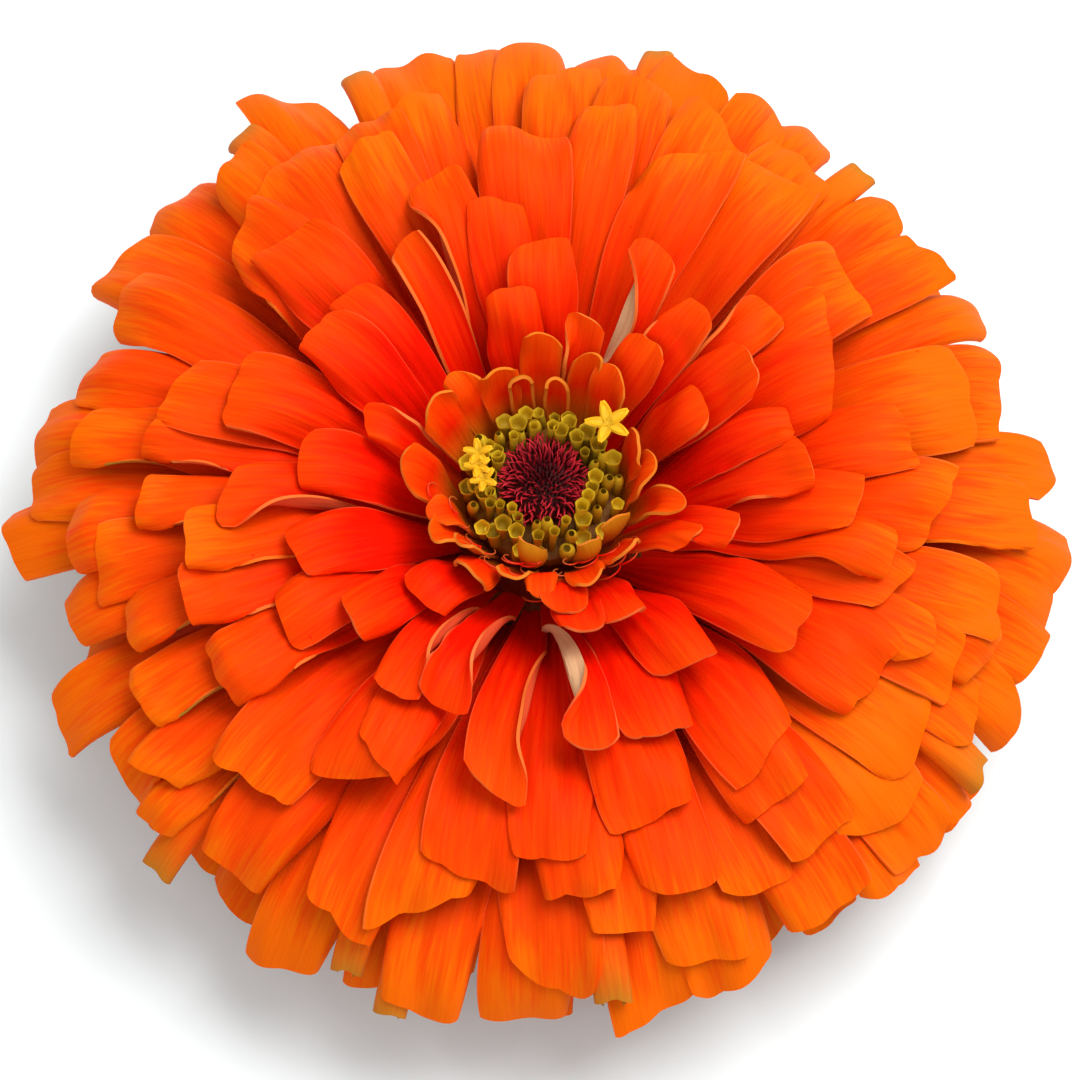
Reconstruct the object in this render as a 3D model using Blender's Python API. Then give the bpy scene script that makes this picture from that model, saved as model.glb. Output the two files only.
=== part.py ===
"""A double zinnia head, cut close under the flower and lying face up.

The layout is in millimetres and degrees. Azimuth 0 is +X and 90 is +Y, and a
petal's reach is how far its tip lies from the flower's axis. The origin is on
the surface that the head lies on, under the middle of the flower.
"""

import math
import random
from collections import namedtuple

import bmesh
import bpy
import numpy as np
from mathutils import Matrix, Vector

MM = 0.001
MERGE = 0.001
SHARP_FROM = math.radians(40)
SEED = 11
GOLDEN_ANGLE = 137.5

# The head's outline: crest of the dome, then the fall towards the rim
CREST_REACH = 18.0
CREST_HEIGHT = 28.0
RIM_REACH = 51.0
RIM_FALL = 16.5
RIM_POWER = 2.6
HEART_FALL = 1.5
HEART_REACH = 8.0

# How a petal leaves its root and how it arrives at its tip, in degrees
RISE = (80, 25)
UPRIGHT = 75
UPRIGHT_FADE = 6.0
LOW_RISE = 8
LOW_FALL = -52

# Receptacle with the packed claws round it, which every ray floret grows from
CORE_PROFILE = ((0, 7.6), (10.5, 7.6), (16.0, 10.2), (18.5, 13.5), (16.5, 16.8), (12.5, 18.6), (0, 18.9))
CORE_SIDES = 24
ROOT_RADII = (7.6, 8.8)
ROOT_TOP = 18.5
ROOT_DROP = 9.0
ROOT_POWER = 0.8

# Ray floret blade
BLADE_THICKNESS = 0.66
BLADE_GAP = 0.35
MOST_LIFT = 4.0
LIFT_ROUNDS = 6
LIFT_PASSES = 8
CELL = 0.75
CELLS = 80
PACKED_RADIUS = 13.0
FULL_DROOP = 8.0
CLAW_WIDTH = 2.0
CLAW_POWER = 1.6
WIDEST_AT = 0.78
TIP_NARROWING = 0.12
CROWN = 34.0
HANDLES = (0.40, 0.33)
CURL_FROM = 0.35
CURL_SPAN = 0.40
MARGIN_FROM = 0.25
MARGIN_POWER = 1.5
LONG_REACH = 36.0
LONG_ROWS = (4, 9, 15, 20, 24)
SHORT_REACH = 20.0
SHORT_ROWS = (3, 10, 18, 24)
YOUNG_ROWS = (0, 10, 18, 24)
FINE_ROWS = 25
FINE_COLUMNS = 21
BLADE_COLUMNS = (0, 10, 20)

# Drooping lowest whorls, hidden from above
REST_WHORL = dict(count=8, reach=41.0, width=8.5, height=0.4)
UNDER_WHORL = dict(count=10, reach=46.0, width=8.0, height=6.5)

# Open heart: young florets on a plate, with the bristly disc in their middle
PLATE = dict(radius=6.6, bottom=19.25, top=20.05)
TUBES = dict(count=24, foot=5.35, mouth=5.95, height=24.2, radii=(0.6, 0.82), sides=6)
STARS = ((35.0, 7.2, 27.0, 2.35), (166.0, 6.1, 25.6, 1.5))
STAR_LOBES = 5
STAR_WAIST = 0.42
STAR_THICKNESS = 0.7
STAR_TUBE = (0.5, 0.6)
SUNK = 0.4
DISC_PROFILE = ((0, 20.4), (3.3, 20.4), (4.05, 21.6), (4.0, 22.7), (3.1, 23.7), (1.6, 24.2), (0, 24.0))
BRISTLES = dict(count=42, radius=0.36, sides=4, length=1.6, shorter=0.55)
BRISTLE_PLACES = dict(spread=3.15, foot=23.7, drop=1.7, lean=58)

# Green cup of bracts and the short cut stem
CUP_PROFILE = ((0, 2.5), (3.3, 2.5), (6.2, 3.7), (9.2, 5.6), (9.9, 7.25), (0, 7.25))
BRACT_ROWS = (
    dict(count=9, root=(4.4, 3.3), tip=(9.3, 4.3), bulge=-0.5, width=5.4),
    dict(count=11, root=(7.2, 4.7), tip=(11.2, 6.4), bulge=-0.5, width=5.2),
    dict(count=13, root=(9.3, 5.9), tip=(12.6, 7.7), bulge=-0.35, width=4.8),
)
BRACT_THICKNESS = 0.62
BRACT_POINTS = 3
BRACT_SIDE_BULGE = 0.6
BRACT_TIP = 0.22
BRACT_SHAPE = (0.75, 0.25, 0.45)
STEM = dict(radii=(2.6, 2.9), height=2.2, sides=20, bevel=0.25)

# Petals by tier: azimuth, reach, width, and how the blade is curled. "+" is the
# margin on the side of rising azimuth, and "-" the other.
RIM = (
    (4.5, 48.5, 6.5, "point"), (355.5, 50.3, 8.5, ""), (342, 49, 8.5, ""), (327, 48.3, 5.5, "tube"),
    (322.5, 49, 6, "under+"), (316.5, 49, 8, ""), (303, 47.5, 10, ""), (290, 49.8, 10, ""),
    (281.5, 50.5, 8, ""), (277.5, 49, 5, "tube"), (269, 50, 10, "under+"), (271, 48, 10, ""),
    (257, 50, 9.5, ""), (254, 51.5, 4, "tube"), (241.5, 50.7, 9, ""), (232, 46.5, 9.5, ""),
    (224.5, 51.5, 4.5, "tube"), (215, 48.5, 8, ""), (205, 50.2, 8.5, ""), (195, 46.3, 7.5, ""),
    (183, 50, 8, ""), (170, 48.7, 8.5, ""), (148, 49, 10, ""), (138, 51, 10, ""),
    (127, 50, 4.5, "tube"), (120, 51, 9, ""), (112, 51, 5, "tube"), (104, 51, 9.5, ""),
    (97, 49.5, 8, ""), (83, 49.5, 8, ""), (77, 51, 4.5, "tube"), (71.5, 49, 10, ""),
    (62, 46.5, 7, "point"), (57, 48.5, 8, "point"), (42, 45, 7, "point"), (34, 44, 8, ""),
    (26, 47, 7, "point"), (14, 45, 10, ""),
)
OUTER = (
    (153, 45, 9, ""), (131, 46.5, 9, ""), (187, 44.5, 9.5, "under+"), (173, 44.5, 8, "under+"),
    (210.5, 43.5, 8, "under+"), (218.5, 46.3, 8.5, "under+"), (246, 46.3, 10, ""), (255, 44.6, 9.5, ""),
    (297.5, 44.6, 8.5, ""), (307, 43, 9, ""), (315, 45.3, 10.5, ""), (322.5, 43.8, 9.5, ""),
    (338, 45.3, 9, "under-"), (357, 45.6, 9.5, "under-"), (280, 43.6, 8.5, "under+"), (78, 43, 8, ""),
    (66, 42, 8, ""), (53, 42.5, 9, ""), (108, 42, 9, ""), (13.5, 42, 11.5, ""),
)
MIDDLE = (
    (201, 41.3, 7, "under+"), (138, 39.5, 10, "under+"), (81, 39.5, 7, ""), (66, 38, 9, ""),
    (56, 39, 11, ""), (185, 38.5, 6, "under+"), (228, 39.8, 10, ""), (259.5, 40, 9.5, ""),
    (275.5, 41, 9, "under+"), (287, 41.2, 9.5, ""), (304.5, 38.8, 9, ""), (334.5, 42.5, 8, ""),
    (355, 38, 9.5, ""), (241, 36.3, 10, ""), (327.5, 37.5, 10.5, ""),
)
INNER = (
    (137, 35, 9, ""), (93.5, 36, 9.5, ""), (35, 36, 9, ""), (6.5, 35, 8.5, ""),
    (345.5, 33.3, 8, "under-"), (306.5, 35.8, 10, ""), (287, 36.3, 9.5, ""), (271.5, 37.3, 9.5, ""),
    (262, 32.8, 6.5, "over+"), (242.5, 33.6, 7.5, ""), (215.5, 36.3, 8, "under+"),
    (194.5, 33.8, 7.5, "under+"), (19.5, 29.3, 9.5, ""), (109, 31, 6, "over+"), (187, 30, 6.5, "over+"),
    (165, 29.8, 8, ""), (213, 28.8, 7, ""), (293, 28.7, 7.5, ""), (326, 28.8, 8.5, ""),
    (352, 29.3, 9, ""),
)
CROWNING = (
    (99.5, 27, 7.5, ""), (238.5, 26.3, 5, "over+"), (279, 28.5, 5, "over-"), (121, 26, 5, "spoon"),
    (149, 25, 7, ""), (90, 22.5, 6.5, ""), (63, 24, 4.5, "over+"), (26, 21.5, 7, ""),
    (9, 23, 6, ""), (357.5, 24.8, 6, "under-"), (180, 22.3, 6.5, ""), (203, 24.5, 7, ""),
    (222.5, 24, 6.5, ""), (304, 24.6, 7.5, ""), (101, 17.5, 6.5, ""), (74, 15, 4, "over+"),
    (51.5, 15.5, 5.5, ""), (23.5, 15.8, 5.5, ""), (337, 19, 5, "under-"), (297, 17.5, 5, ""),
    (230.5, 16.8, 6.5, ""), (165, 16.7, 4, "over-"),
)
YOUNGEST = (
    (91, 13, 4, ""), (115, 10.5, 4, ""), (132, 11.5, 3.5, ""), (150, 12, 4.5, ""),
    (182, 12.8, 5, ""), (238, 13, 5, ""), (279, 14, 4.5, ""), (343, 12, 3.5, ""),
    (53, 11.2, 4, ""), (68, 11.5, 3, ""), (358, 9.6, 4.5, ""), (300, 9.4, 3.5, ""),
    (264, 8.6, 4, ""),
)

Petal = namedtuple("Petal", "azimuth reach width habit sweep roll height")
Habit = namedtuple("Habit", "crown plus minus tip_depth tip_power")

# Degrees that each margin turns, down if negative, and the shape of the tip
HABITS = {
    "": Habit(CROWN, 0, 0, 0.36, 3.0),
    "point": Habit(CROWN, 0, 0, 0.85, 1.4),
    "tube": Habit(78, -60, -60, 0.30, 2.0),
    "under+": Habit(CROWN, -110, 0, 0.36, 3.0),
    "under-": Habit(CROWN, 0, -110, 0.36, 3.0),
    "over+": Habit(12, 95, 0, 0.40, 2.4),
    "over-": Habit(12, 0, 95, 0.40, 2.4),
    "spoon": Habit(-30, 40, 40, 0.45, 2.2),
}


def clear_scene():
    for obj in list(bpy.data.objects):
        bpy.data.objects.remove(obj)


def material(name, colour, roughness):
    made = bpy.data.materials.new(name)
    made.use_nodes = True
    shader = made.node_tree.nodes["Principled BSDF"]
    shader.inputs["Base Color"].default_value = (*colour, 1.0)
    shader.inputs["Roughness"].default_value = roughness
    shader.inputs["Metallic"].default_value = 0.0
    return made


def object_from(shape, name, finish=None):
    """A new object from a bmesh in millimetres."""
    bmesh.ops.remove_doubles(shape, verts=shape.verts, dist=MERGE)
    bmesh.ops.recalc_face_normals(shape, faces=shape.faces)
    bmesh.ops.scale(shape, vec=(MM, MM, MM), verts=shape.verts)
    mesh = bpy.data.meshes.new(name)
    shape.to_mesh(mesh)
    shape.free()
    obj = bpy.data.objects.new(name, mesh)
    bpy.context.scene.collection.objects.link(obj)
    if finish:
        mesh.materials.append(finish)
    return obj


def dome_height(reach):
    """Height of the dome's surface, where petal tips of this reach lie."""
    if reach > CREST_REACH:
        return CREST_HEIGHT - RIM_FALL * ((reach - CREST_REACH) / (RIM_REACH - CREST_REACH)) ** RIM_POWER
    return CREST_HEIGHT - HEART_FALL * ((CREST_REACH - reach) / (CREST_REACH - HEART_REACH)) ** 2


def dome_angle(reach):
    """Angle at which a petal of this reach arrives at its tip, in radians."""
    step = 0.5
    slope = (dome_height(reach + step) - dome_height(reach - step)) / (2 * step)
    upright = math.radians(UPRIGHT) * math.exp(-(reach - HEART_REACH) / UPRIGHT_FADE)
    return math.atan(slope) + upright


def read_petals():
    """Every ray floret from the rim inwards, then the hidden whorls under them."""
    petals = []
    for azimuth, reach, width, habit in RIM + OUTER + MIDDLE + INNER + CROWNING + YOUNGEST:
        draw = random.Random(round(10 * azimuth + reach))
        sweep = draw.uniform(-5, 5)
        roll = draw.uniform(-9, 9)
        petals.append(Petal(azimuth, reach, width, habit, sweep, roll, dome_height(reach)))
    draw = random.Random(SEED)
    for whorl in (UNDER_WHORL, REST_WHORL):
        for i in range(whorl["count"]):
            azimuth = 360 * (i + draw.uniform(-0.12, 0.12)) / whorl["count"]
            reach = whorl["reach"] + draw.uniform(-1, 1)
            sweep = draw.uniform(-4, 4)
            petals.append(Petal(azimuth, reach, whorl["width"], "", sweep, 0, whorl["height"]))
    return petals


def midline(petal, t):
    """Radius, height and slope angle of the petal's middle at t, 0 at its root and 1 at its tip."""
    share = (petal.reach - HEART_REACH) / (RIM_REACH - HEART_REACH)
    share = min(max(share, 0.0), 1.0)
    low = petal.height < dome_height(petal.reach) - 1
    root = (
        ROOT_RADII[0] + (ROOT_RADII[1] - ROOT_RADII[0]) * share,
        ROOT_TOP - ROOT_DROP * share**ROOT_POWER,
    )
    rise = math.radians(RISE[0] + (RISE[1] - RISE[0]) * math.sqrt(share))
    fall = dome_angle(petal.reach)
    if low:
        rise = math.radians(LOW_RISE + petal.height)
        fall = math.radians(LOW_FALL)
    span = math.hypot(petal.reach - root[0], petal.height - root[1])
    near = (root[0] + HANDLES[0] * span * math.cos(rise), root[1] + HANDLES[0] * span * math.sin(rise))
    far = (
        petal.reach - HANDLES[1] * span * math.cos(fall),
        petal.height - HANDLES[1] * span * math.sin(fall),
    )
    corners = np.array([root, near, far, (petal.reach, petal.height)])
    blend = np.stack([(1 - t) ** 3, 3 * t * (1 - t) ** 2, 3 * t**2 * (1 - t), t**3], axis=-1)
    turn = np.stack([-((1 - t) ** 2), (1 - t) * (1 - 3 * t), t * (2 - 3 * t), t**2], axis=-1)
    place = blend @ corners
    heading = turn @ corners
    return place[..., 0], place[..., 1], np.arctan2(heading[..., 1], heading[..., 0])


def section(petal, rows, u):
    """Sideways and upward offsets across the blade for a half width of 1, one row for each in rows."""
    habit = HABITS[petal.habit]
    curl = np.clip((rows - CURL_FROM) / CURL_SPAN, 0, 1)[:, None]
    outer = np.clip((np.abs(u) - MARGIN_FROM) / (1 - MARGIN_FROM), 0, 1) ** MARGIN_POWER
    margin = np.where(u > 0, habit.plus, habit.minus)
    angle = np.radians(-habit.crown * np.abs(u) + margin * outer * curl)
    step = u[1] - u[0]
    middle = len(u) // 2
    across = np.cumsum(np.cos(angle), axis=1) * step
    upward = np.cumsum(np.sin(angle) * np.sign(u), axis=1) * step
    return across - across[:, middle : middle + 1], upward - upward[:, middle : middle + 1]


def surface(petal):
    """The blade's middle surface as a grid of points, rows from root to tip and columns across."""
    habit = HABITS[petal.habit]
    rows = np.linspace(0, 1, FINE_ROWS)
    u = np.linspace(-1, 1, FINE_COLUMNS)
    length = math.hypot(petal.reach - ROOT_RADII[0], petal.height - ROOT_TOP)
    depth = habit.tip_depth * petal.width / 2 / length
    t = rows[:, None] * (1 - depth * np.abs(u) ** habit.tip_power)
    radius, height, slope = midline(petal, t)
    claw = CLAW_WIDTH / petal.width
    spread = claw + (1 - claw) * np.sin(np.pi / 2 * np.clip(rows / WIDEST_AT, 0, 1)) ** CLAW_POWER
    spread = spread - TIP_NARROWING * np.clip((rows - WIDEST_AT) / (1 - WIDEST_AT), 0, 1) ** 2
    across, upward = section(petal, rows, u)
    half = (petal.width / 2 * spread)[:, None]
    roll = np.radians(petal.roll) * rows[:, None]
    side = half * (across * np.cos(roll) - upward * np.sin(roll))
    rise = half * (across * np.sin(roll) + upward * np.cos(roll))
    azimuth = np.radians(petal.azimuth + petal.sweep * (1 - t) ** 2)
    out = radius - rise * np.sin(slope)
    x = out * np.cos(azimuth) - side * np.sin(azimuth)
    y = out * np.sin(azimuth) + side * np.cos(azimuth)
    z = height + rise * np.cos(slope)
    return np.stack([x, y, z], axis=-1)


def spread_out(need, passes):
    """A smooth surface over the given one, from blurring it and never falling below it."""
    lift = need
    for _ in range(passes):
        wide = np.pad(lift, 1, mode="edge")
        along = (wide[:-2, 1:-1] + 2 * wide[1:-1, 1:-1] + wide[2:, 1:-1]) / 4
        across = (wide[1:-1, :-2] + 2 * wide[1:-1, 1:-1] + wide[1:-1, 2:]) / 4
        lift = np.maximum(need, (along + across) / 2)
    return lift


def rested(petal, grid):
    """A lowest petal, its droop set so that its tip just meets the surface."""
    if petal.height > REST_WHORL["height"]:
        return grid
    low = grid[..., 2].min() - BLADE_THICKNESS / 2
    root = grid[0, :, 2].mean()
    grid[..., 2] = root + (grid[..., 2] - root) * root / (root - low)
    return grid


def kept_rows(petal):
    if petal.reach > LONG_REACH:
        return LONG_ROWS
    return SHORT_ROWS if petal.reach > SHORT_REACH else YOUNG_ROWS


def flattened(grid, rows):
    """The grid as the few kept rows and columns draw it, with straight lines between them."""
    every_row = np.arange(FINE_ROWS)
    every_column = np.arange(FINE_COLUMNS)
    kept = grid[np.ix_(rows, BLADE_COLUMNS)]
    down = np.stack([[np.interp(every_row, rows, kept[:, j, k]) for k in range(3)] for j in range(3)])
    out = np.empty_like(grid)
    for k in range(3):
        for i in range(FINE_ROWS):
            out[i, :, k] = np.interp(every_column, BLADE_COLUMNS, down[:, k, i])
    return out


def cells_of(grid):
    index = np.clip((grid[..., :2] / CELL).astype(int) + CELLS, 0, 2 * CELLS - 1)
    return index[..., 0], index[..., 1]


def settle(petals):
    """The surface of each petal, laid from the lowest up and draped over those under it."""
    laid = np.full((2 * CELLS, 2 * CELLS), -1.0)
    settled = {}
    order = sorted(petals, key=lambda p: (min(p.height, FULL_DROOP), -p.reach))
    for petal in order:
        rows = kept_rows(petal)
        grid = rested(petal, surface(petal))
        start = grid[..., 2].copy()
        for _ in range(LIFT_ROUNDS):
            flat = flattened(grid, rows)
            free = np.hypot(flat[..., 0], flat[..., 1]) > PACKED_RADIUS
            need = (laid[cells_of(flat)] + BLADE_THICKNESS + BLADE_GAP - flat[..., 2]) * free
            grid[..., 2] += spread_out(np.clip(need, 0, None), LIFT_PASSES)
        raised = np.minimum(grid[..., 2] - start, MOST_LIFT)
        grid[..., 2] = start + raised
        flat = flattened(grid, rows)
        np.maximum.at(laid, cells_of(flat), flat[..., 2])
        settled[petal] = grid
    return settled


def blade(name, grid, thickness):
    """A closed blade round a grid of points, split into triangles alike on both faces."""
    rows, columns = grid.shape[:2]
    shape = bmesh.new()
    bmesh.ops.create_grid(shape, x_segments=columns - 1, y_segments=rows - 1, size=1)
    for vert, place in zip(shape.verts, grid.reshape(-1, 3)):
        vert.co = place
    bmesh.ops.triangulate(shape, faces=shape.faces, quad_method="FIXED")
    made = object_from(shape, name)
    wall = made.modifiers.new("Wall", "SOLIDIFY")
    wall.thickness = thickness * MM
    wall.offset = 0
    return made


def on_circle(radius, angle, height):
    return Vector((radius * math.cos(angle), radius * math.sin(angle), height))


def cone_between(name, low, high, radii, sides):
    """A closed cone or tube from one point to another, in millimetres."""
    low, high = Vector(low), Vector(high)
    along = high - low
    place = Matrix.Translation((low + high) / 2) @ along.to_track_quat("Z", "Y").to_matrix().to_4x4()
    shape = bmesh.new()
    sizes = dict(radius1=radii[0], radius2=radii[1], depth=along.length)
    bmesh.ops.create_cone(shape, cap_ends=True, segments=sides, matrix=place, **sizes)
    return object_from(shape, name)


def turned(name, profile, sides, finish):
    """A solid of revolution round Z from a profile that starts and ends on the axis."""
    shape = bmesh.new()
    verts = [shape.verts.new((radius, 0, height)) for radius, height in profile]
    edges = [shape.edges.new(pair) for pair in zip(verts, verts[1:])]
    round_z = dict(axis=(0, 0, 1), cent=(0, 0, 0), angle=2 * math.pi)
    bmesh.ops.spin(shape, geom=verts + edges, steps=sides, use_merge=True, **round_z)
    return object_from(shape, name, finish)


def keep_outer_shell(obj):
    """Fills what fusing sealed inside, by keeping only the largest of the mesh's shells."""
    shape = bmesh.new()
    shape.from_mesh(obj.data)
    left = set(shape.faces)
    shells = []
    while left:
        shell = {left.pop()}
        edge_of = list(shell)
        while edge_of:
            for edge in edge_of.pop().edges:
                for face in edge.link_faces:
                    if face in left:
                        left.remove(face)
                        shell.add(face)
                        edge_of.append(face)
        shells.append(shell)
    shells.sort(key=len)
    inner = [face for shell in shells[:-1] for face in shell]
    bmesh.ops.delete(shape, geom=inner, context="FACES")
    bmesh.ops.triangulate(shape, faces=shape.faces)
    shape.to_mesh(obj.data)
    shape.free()


def fuse(base, pieces, solver="EXACT"):
    """Joins the pieces to the base in one Boolean union and removes them."""
    group = bpy.data.collections.new(base.name + "_pieces")
    bpy.context.scene.collection.children.link(group)
    for piece in pieces:
        bpy.context.scene.collection.objects.unlink(piece)
        group.objects.link(piece)
    union = base.modifiers.new("Fuse", "BOOLEAN")
    union.operation = "UNION"
    union.operand_type = "COLLECTION"
    union.collection = group
    union.solver = solver
    bpy.ops.object.select_all(action="DESELECT")
    bpy.context.view_layer.objects.active = base
    base.select_set(True)
    bpy.ops.object.modifier_apply(modifier=union.name)
    for piece in pieces:
        bpy.data.objects.remove(piece)
    bpy.data.collections.remove(group)
    keep_outer_shell(base)


def ray_florets(finish):
    core = turned("ray_florets", CORE_PROFILE, CORE_SIDES, finish)
    blades = []
    for petal, grid in settle(read_petals()).items():
        blades.append(blade("blade", grid[np.ix_(kept_rows(petal), BLADE_COLUMNS)], BLADE_THICKNESS))
    fuse(core, blades, "MANIFOLD")
    return core


def star(azimuth, reach, height, radius):
    """A five-lobed yellow floret: its tube and its flat star."""
    angle = math.radians(azimuth)
    middle = on_circle(reach, angle, height)
    foot = on_circle(TUBES["foot"], angle, PLATE["bottom"] + SUNK)
    tube = cone_between("star_tube", foot, middle, STAR_TUBE, TUBES["sides"])
    shape = bmesh.new()
    low = middle - Vector((0, 0, STAR_THICKNESS / 2))
    bmesh.ops.create_circle(
        shape, cap_ends=True, segments=2 * STAR_LOBES, radius=radius, matrix=Matrix.Translation(low)
    )
    for vert in list(shape.verts)[1::2]:
        vert.co = low + (vert.co - low) * STAR_WAIST
    raised = bmesh.ops.extrude_face_region(shape, geom=shape.faces[:])["geom"]
    upper = [item for item in raised if isinstance(item, bmesh.types.BMVert)]
    bmesh.ops.translate(shape, vec=(0, 0, STAR_THICKNESS), verts=upper)
    return [tube, object_from(shape, "star_lobes")]


def young_florets(finish):
    """The ring of unopened tubes and the opened stars, on their common plate."""
    radius, bottom, top = PLATE["radius"], PLATE["bottom"], PLATE["top"]
    profile = ((0, bottom), (radius, bottom), (radius, top), (0, top))
    plate = turned("young_florets", profile, CORE_SIDES, finish)
    draw = random.Random(SEED)
    pieces = []
    for i in range(TUBES["count"]):
        angle = 2 * math.pi * (i + draw.uniform(-0.1, 0.1)) / TUBES["count"]
        height = TUBES["height"] + draw.uniform(-0.5, 0.5)
        foot = on_circle(TUBES["foot"], angle, PLATE["bottom"] + SUNK)
        mouth = on_circle(TUBES["mouth"], angle, height)
        pieces.append(cone_between("tube", foot, mouth, TUBES["radii"], TUBES["sides"]))
    for place in STARS:
        pieces += star(*place)
    fuse(plate, pieces, "MANIFOLD")
    return plate


def disc(finish):
    """The crimson dome of paleae, with short bristles all over."""
    dome = turned("disc", DISC_PROFILE, CORE_SIDES, finish)
    pieces = []
    for i in range(BRISTLES["count"]):
        share = (i + 0.5) / BRISTLES["count"]
        angle = i * math.radians(GOLDEN_ANGLE)
        lean = share * math.radians(BRISTLE_PLACES["lean"])
        height = BRISTLE_PLACES["foot"] - BRISTLE_PLACES["drop"] * share**2
        foot = on_circle(BRISTLE_PLACES["spread"] * math.sqrt(share), angle, height)
        way = on_circle(math.sin(lean), angle, math.cos(lean))
        tip = foot + way * (BRISTLES["length"] - BRISTLES["shorter"] * share)
        pieces.append(cone_between("bristle", foot, tip, (BRISTLES["radius"], 0), BRISTLES["sides"]))
    fuse(dome, pieces, "MANIFOLD")
    return dome


def bract(row, azimuth):
    """One round-tipped scale of the cup, from its root out and up to its free tip."""
    rows = np.linspace(0, 1, BRACT_POINTS)
    u = np.linspace(-1, 1, BRACT_POINTS)
    t = rows[:, None] * (1 - BRACT_TIP * u**2)
    (r0, z0), (r1, z1) = row["root"], row["tip"]
    radius = r0 + (r1 - r0) * t - row["bulge"] * np.sin(np.pi * t) * BRACT_SIDE_BULGE
    height = z0 + (z1 - z0) * t + row["bulge"] * np.sin(np.pi * t)
    foot, belly, taper = BRACT_SHAPE
    half = row["width"] / 2 * (foot + belly * np.sin(np.pi * rows) - taper * rows**3)[:, None]
    spread = half * u / np.maximum(radius, 1)
    angle = math.radians(azimuth) + spread
    return np.stack([radius * np.cos(angle), radius * np.sin(angle), height], axis=-1)


def involucre(finish):
    cup = turned("involucre", CUP_PROFILE, CORE_SIDES, finish)
    scales = []
    for k, row in enumerate(BRACT_ROWS):
        for i in range(row["count"]):
            grid = bract(row, 360 * (i + 0.5 * (k % 2)) / row["count"])
            scales.append(blade("bract", grid, BRACT_THICKNESS))
    fuse(cup, scales, "MANIFOLD")
    return cup


def stem(finish):
    """The cut stub, with its flat end on the surface."""
    stub = cone_between("stem", (0, 0, 0), (0, 0, STEM["height"]), STEM["radii"], STEM["sides"])
    stub.data.materials.append(finish)
    bevel = stub.modifiers.new("Bevel", "BEVEL")
    bevel.width = STEM["bevel"] * MM
    bevel.segments = 2
    return stub


def shade(obj):
    obj.data.shade_smooth()
    obj.data.set_sharp_from_angle(angle=SHARP_FROM)


def main():
    clear_scene()
    green = material("stem_green", (0.20, 0.30, 0.08), 0.7)
    orange = material("ray_orange", (0.90, 0.16, 0.01), 0.6)
    shade(ray_florets(orange))
    shade(young_florets(material("floret_yellow", (0.72, 0.50, 0.05), 0.6)))
    shade(disc(material("disc_crimson", (0.30, 0.01, 0.03), 0.8)))
    shade(involucre(material("bract_green", (0.14, 0.24, 0.07), 0.7)))
    shade(stem(green))


main()
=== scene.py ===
"""Double zinnia head: the fine petals, the heart, the cup, the stem and the stage.

The layout is in millimetres and degrees, and the meshes are in metres. Azimuth 0 is +X and 90 is +Y,
and a petal's reach is how far its tip lies from the flower's axis.
"""

import math
import random
from collections import namedtuple

import bpy
import numpy as np
from bpy.props import FloatProperty, FloatVectorProperty, IntProperty, PointerProperty
from bpy.types import Operator, Panel, PropertyGroup
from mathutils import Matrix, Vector


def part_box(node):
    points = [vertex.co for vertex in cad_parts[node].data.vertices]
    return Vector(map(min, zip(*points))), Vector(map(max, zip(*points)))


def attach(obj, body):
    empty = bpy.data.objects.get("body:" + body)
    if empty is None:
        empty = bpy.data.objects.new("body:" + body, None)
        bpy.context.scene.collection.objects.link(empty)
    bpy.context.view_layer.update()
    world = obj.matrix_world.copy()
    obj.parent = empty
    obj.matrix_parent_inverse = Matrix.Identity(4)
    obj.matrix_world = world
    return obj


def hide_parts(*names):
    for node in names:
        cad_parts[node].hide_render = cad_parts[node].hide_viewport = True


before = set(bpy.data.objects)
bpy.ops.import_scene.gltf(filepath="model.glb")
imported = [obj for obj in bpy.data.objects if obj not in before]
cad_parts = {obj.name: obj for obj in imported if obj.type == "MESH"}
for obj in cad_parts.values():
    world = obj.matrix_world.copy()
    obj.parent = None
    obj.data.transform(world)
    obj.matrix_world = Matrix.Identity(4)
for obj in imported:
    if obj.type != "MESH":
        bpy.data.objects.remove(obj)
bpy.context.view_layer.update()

bl_info = {
    "name": "Zinnia Head",
    "version": (1, 0, 0),
    "blender": (4, 5, 0),
    "location": "View3D > Sidebar > Zinnia",
    "description": "Builds a double zinnia head petal by petal, with its heart, cup, stem and stage",
    "category": "Add Mesh",
}

MM = 0.001
SEED = 11
GOLDEN_ANGLE = 137.5

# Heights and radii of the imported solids, in millimetres
DISC_LOW, DISC_HIGH = (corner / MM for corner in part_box("disc"))
CUP_LOW, CUP_HIGH = (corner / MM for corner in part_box("involucre"))
STEM_LOW, STEM_HIGH = (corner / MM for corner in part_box("stem"))
PLATE_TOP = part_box("young_florets")[0].z / MM + 0.8

# The head's outline, as the solids have it
CREST_REACH = 18.0
RIM_REACH = 51.0
RIM_POWER = 2.6
HEART_FALL = 1.5
HEART_REACH = 8.0
RISE = (80, 25)
UPRIGHT = 75
UPRIGHT_FADE = 6.0
LOW_RISE = 8
LOW_FALL = -52
ROOT_RADII = (6.9, 8.8)
ROOT_TOP = 18.5
ROOT_DROP = 9.0
ROOT_POWER = 0.8
CLAW_WIDTH = 2.0
CLAW_POWER = 1.25
WIDEST_AT = 0.90
TIP_NARROWING = 0.04
SLANT = 0.75
LOBE_DEPTH = (0.0, 0.13)
LOBE_TURN = 3.7
ROUND_REACH = 36
ROUND_SPAN = 16
HANDLES = (0.40, 0.33)
CURL_FROM = 0.35
CURL_SPAN = 0.40
ARCH_AT = 0.76
ARCH_SPAN = 0.14
CORNER_FROM = 0.86
CORNER_TURN = -170
MARGIN_POWER = 1.5
FOLD_FROM = 0.28
FOLD_SPAN = 0.66
TURNED_OVER = 100
MARGIN_WOBBLE = 0.055
WAIST = 0.34
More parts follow.
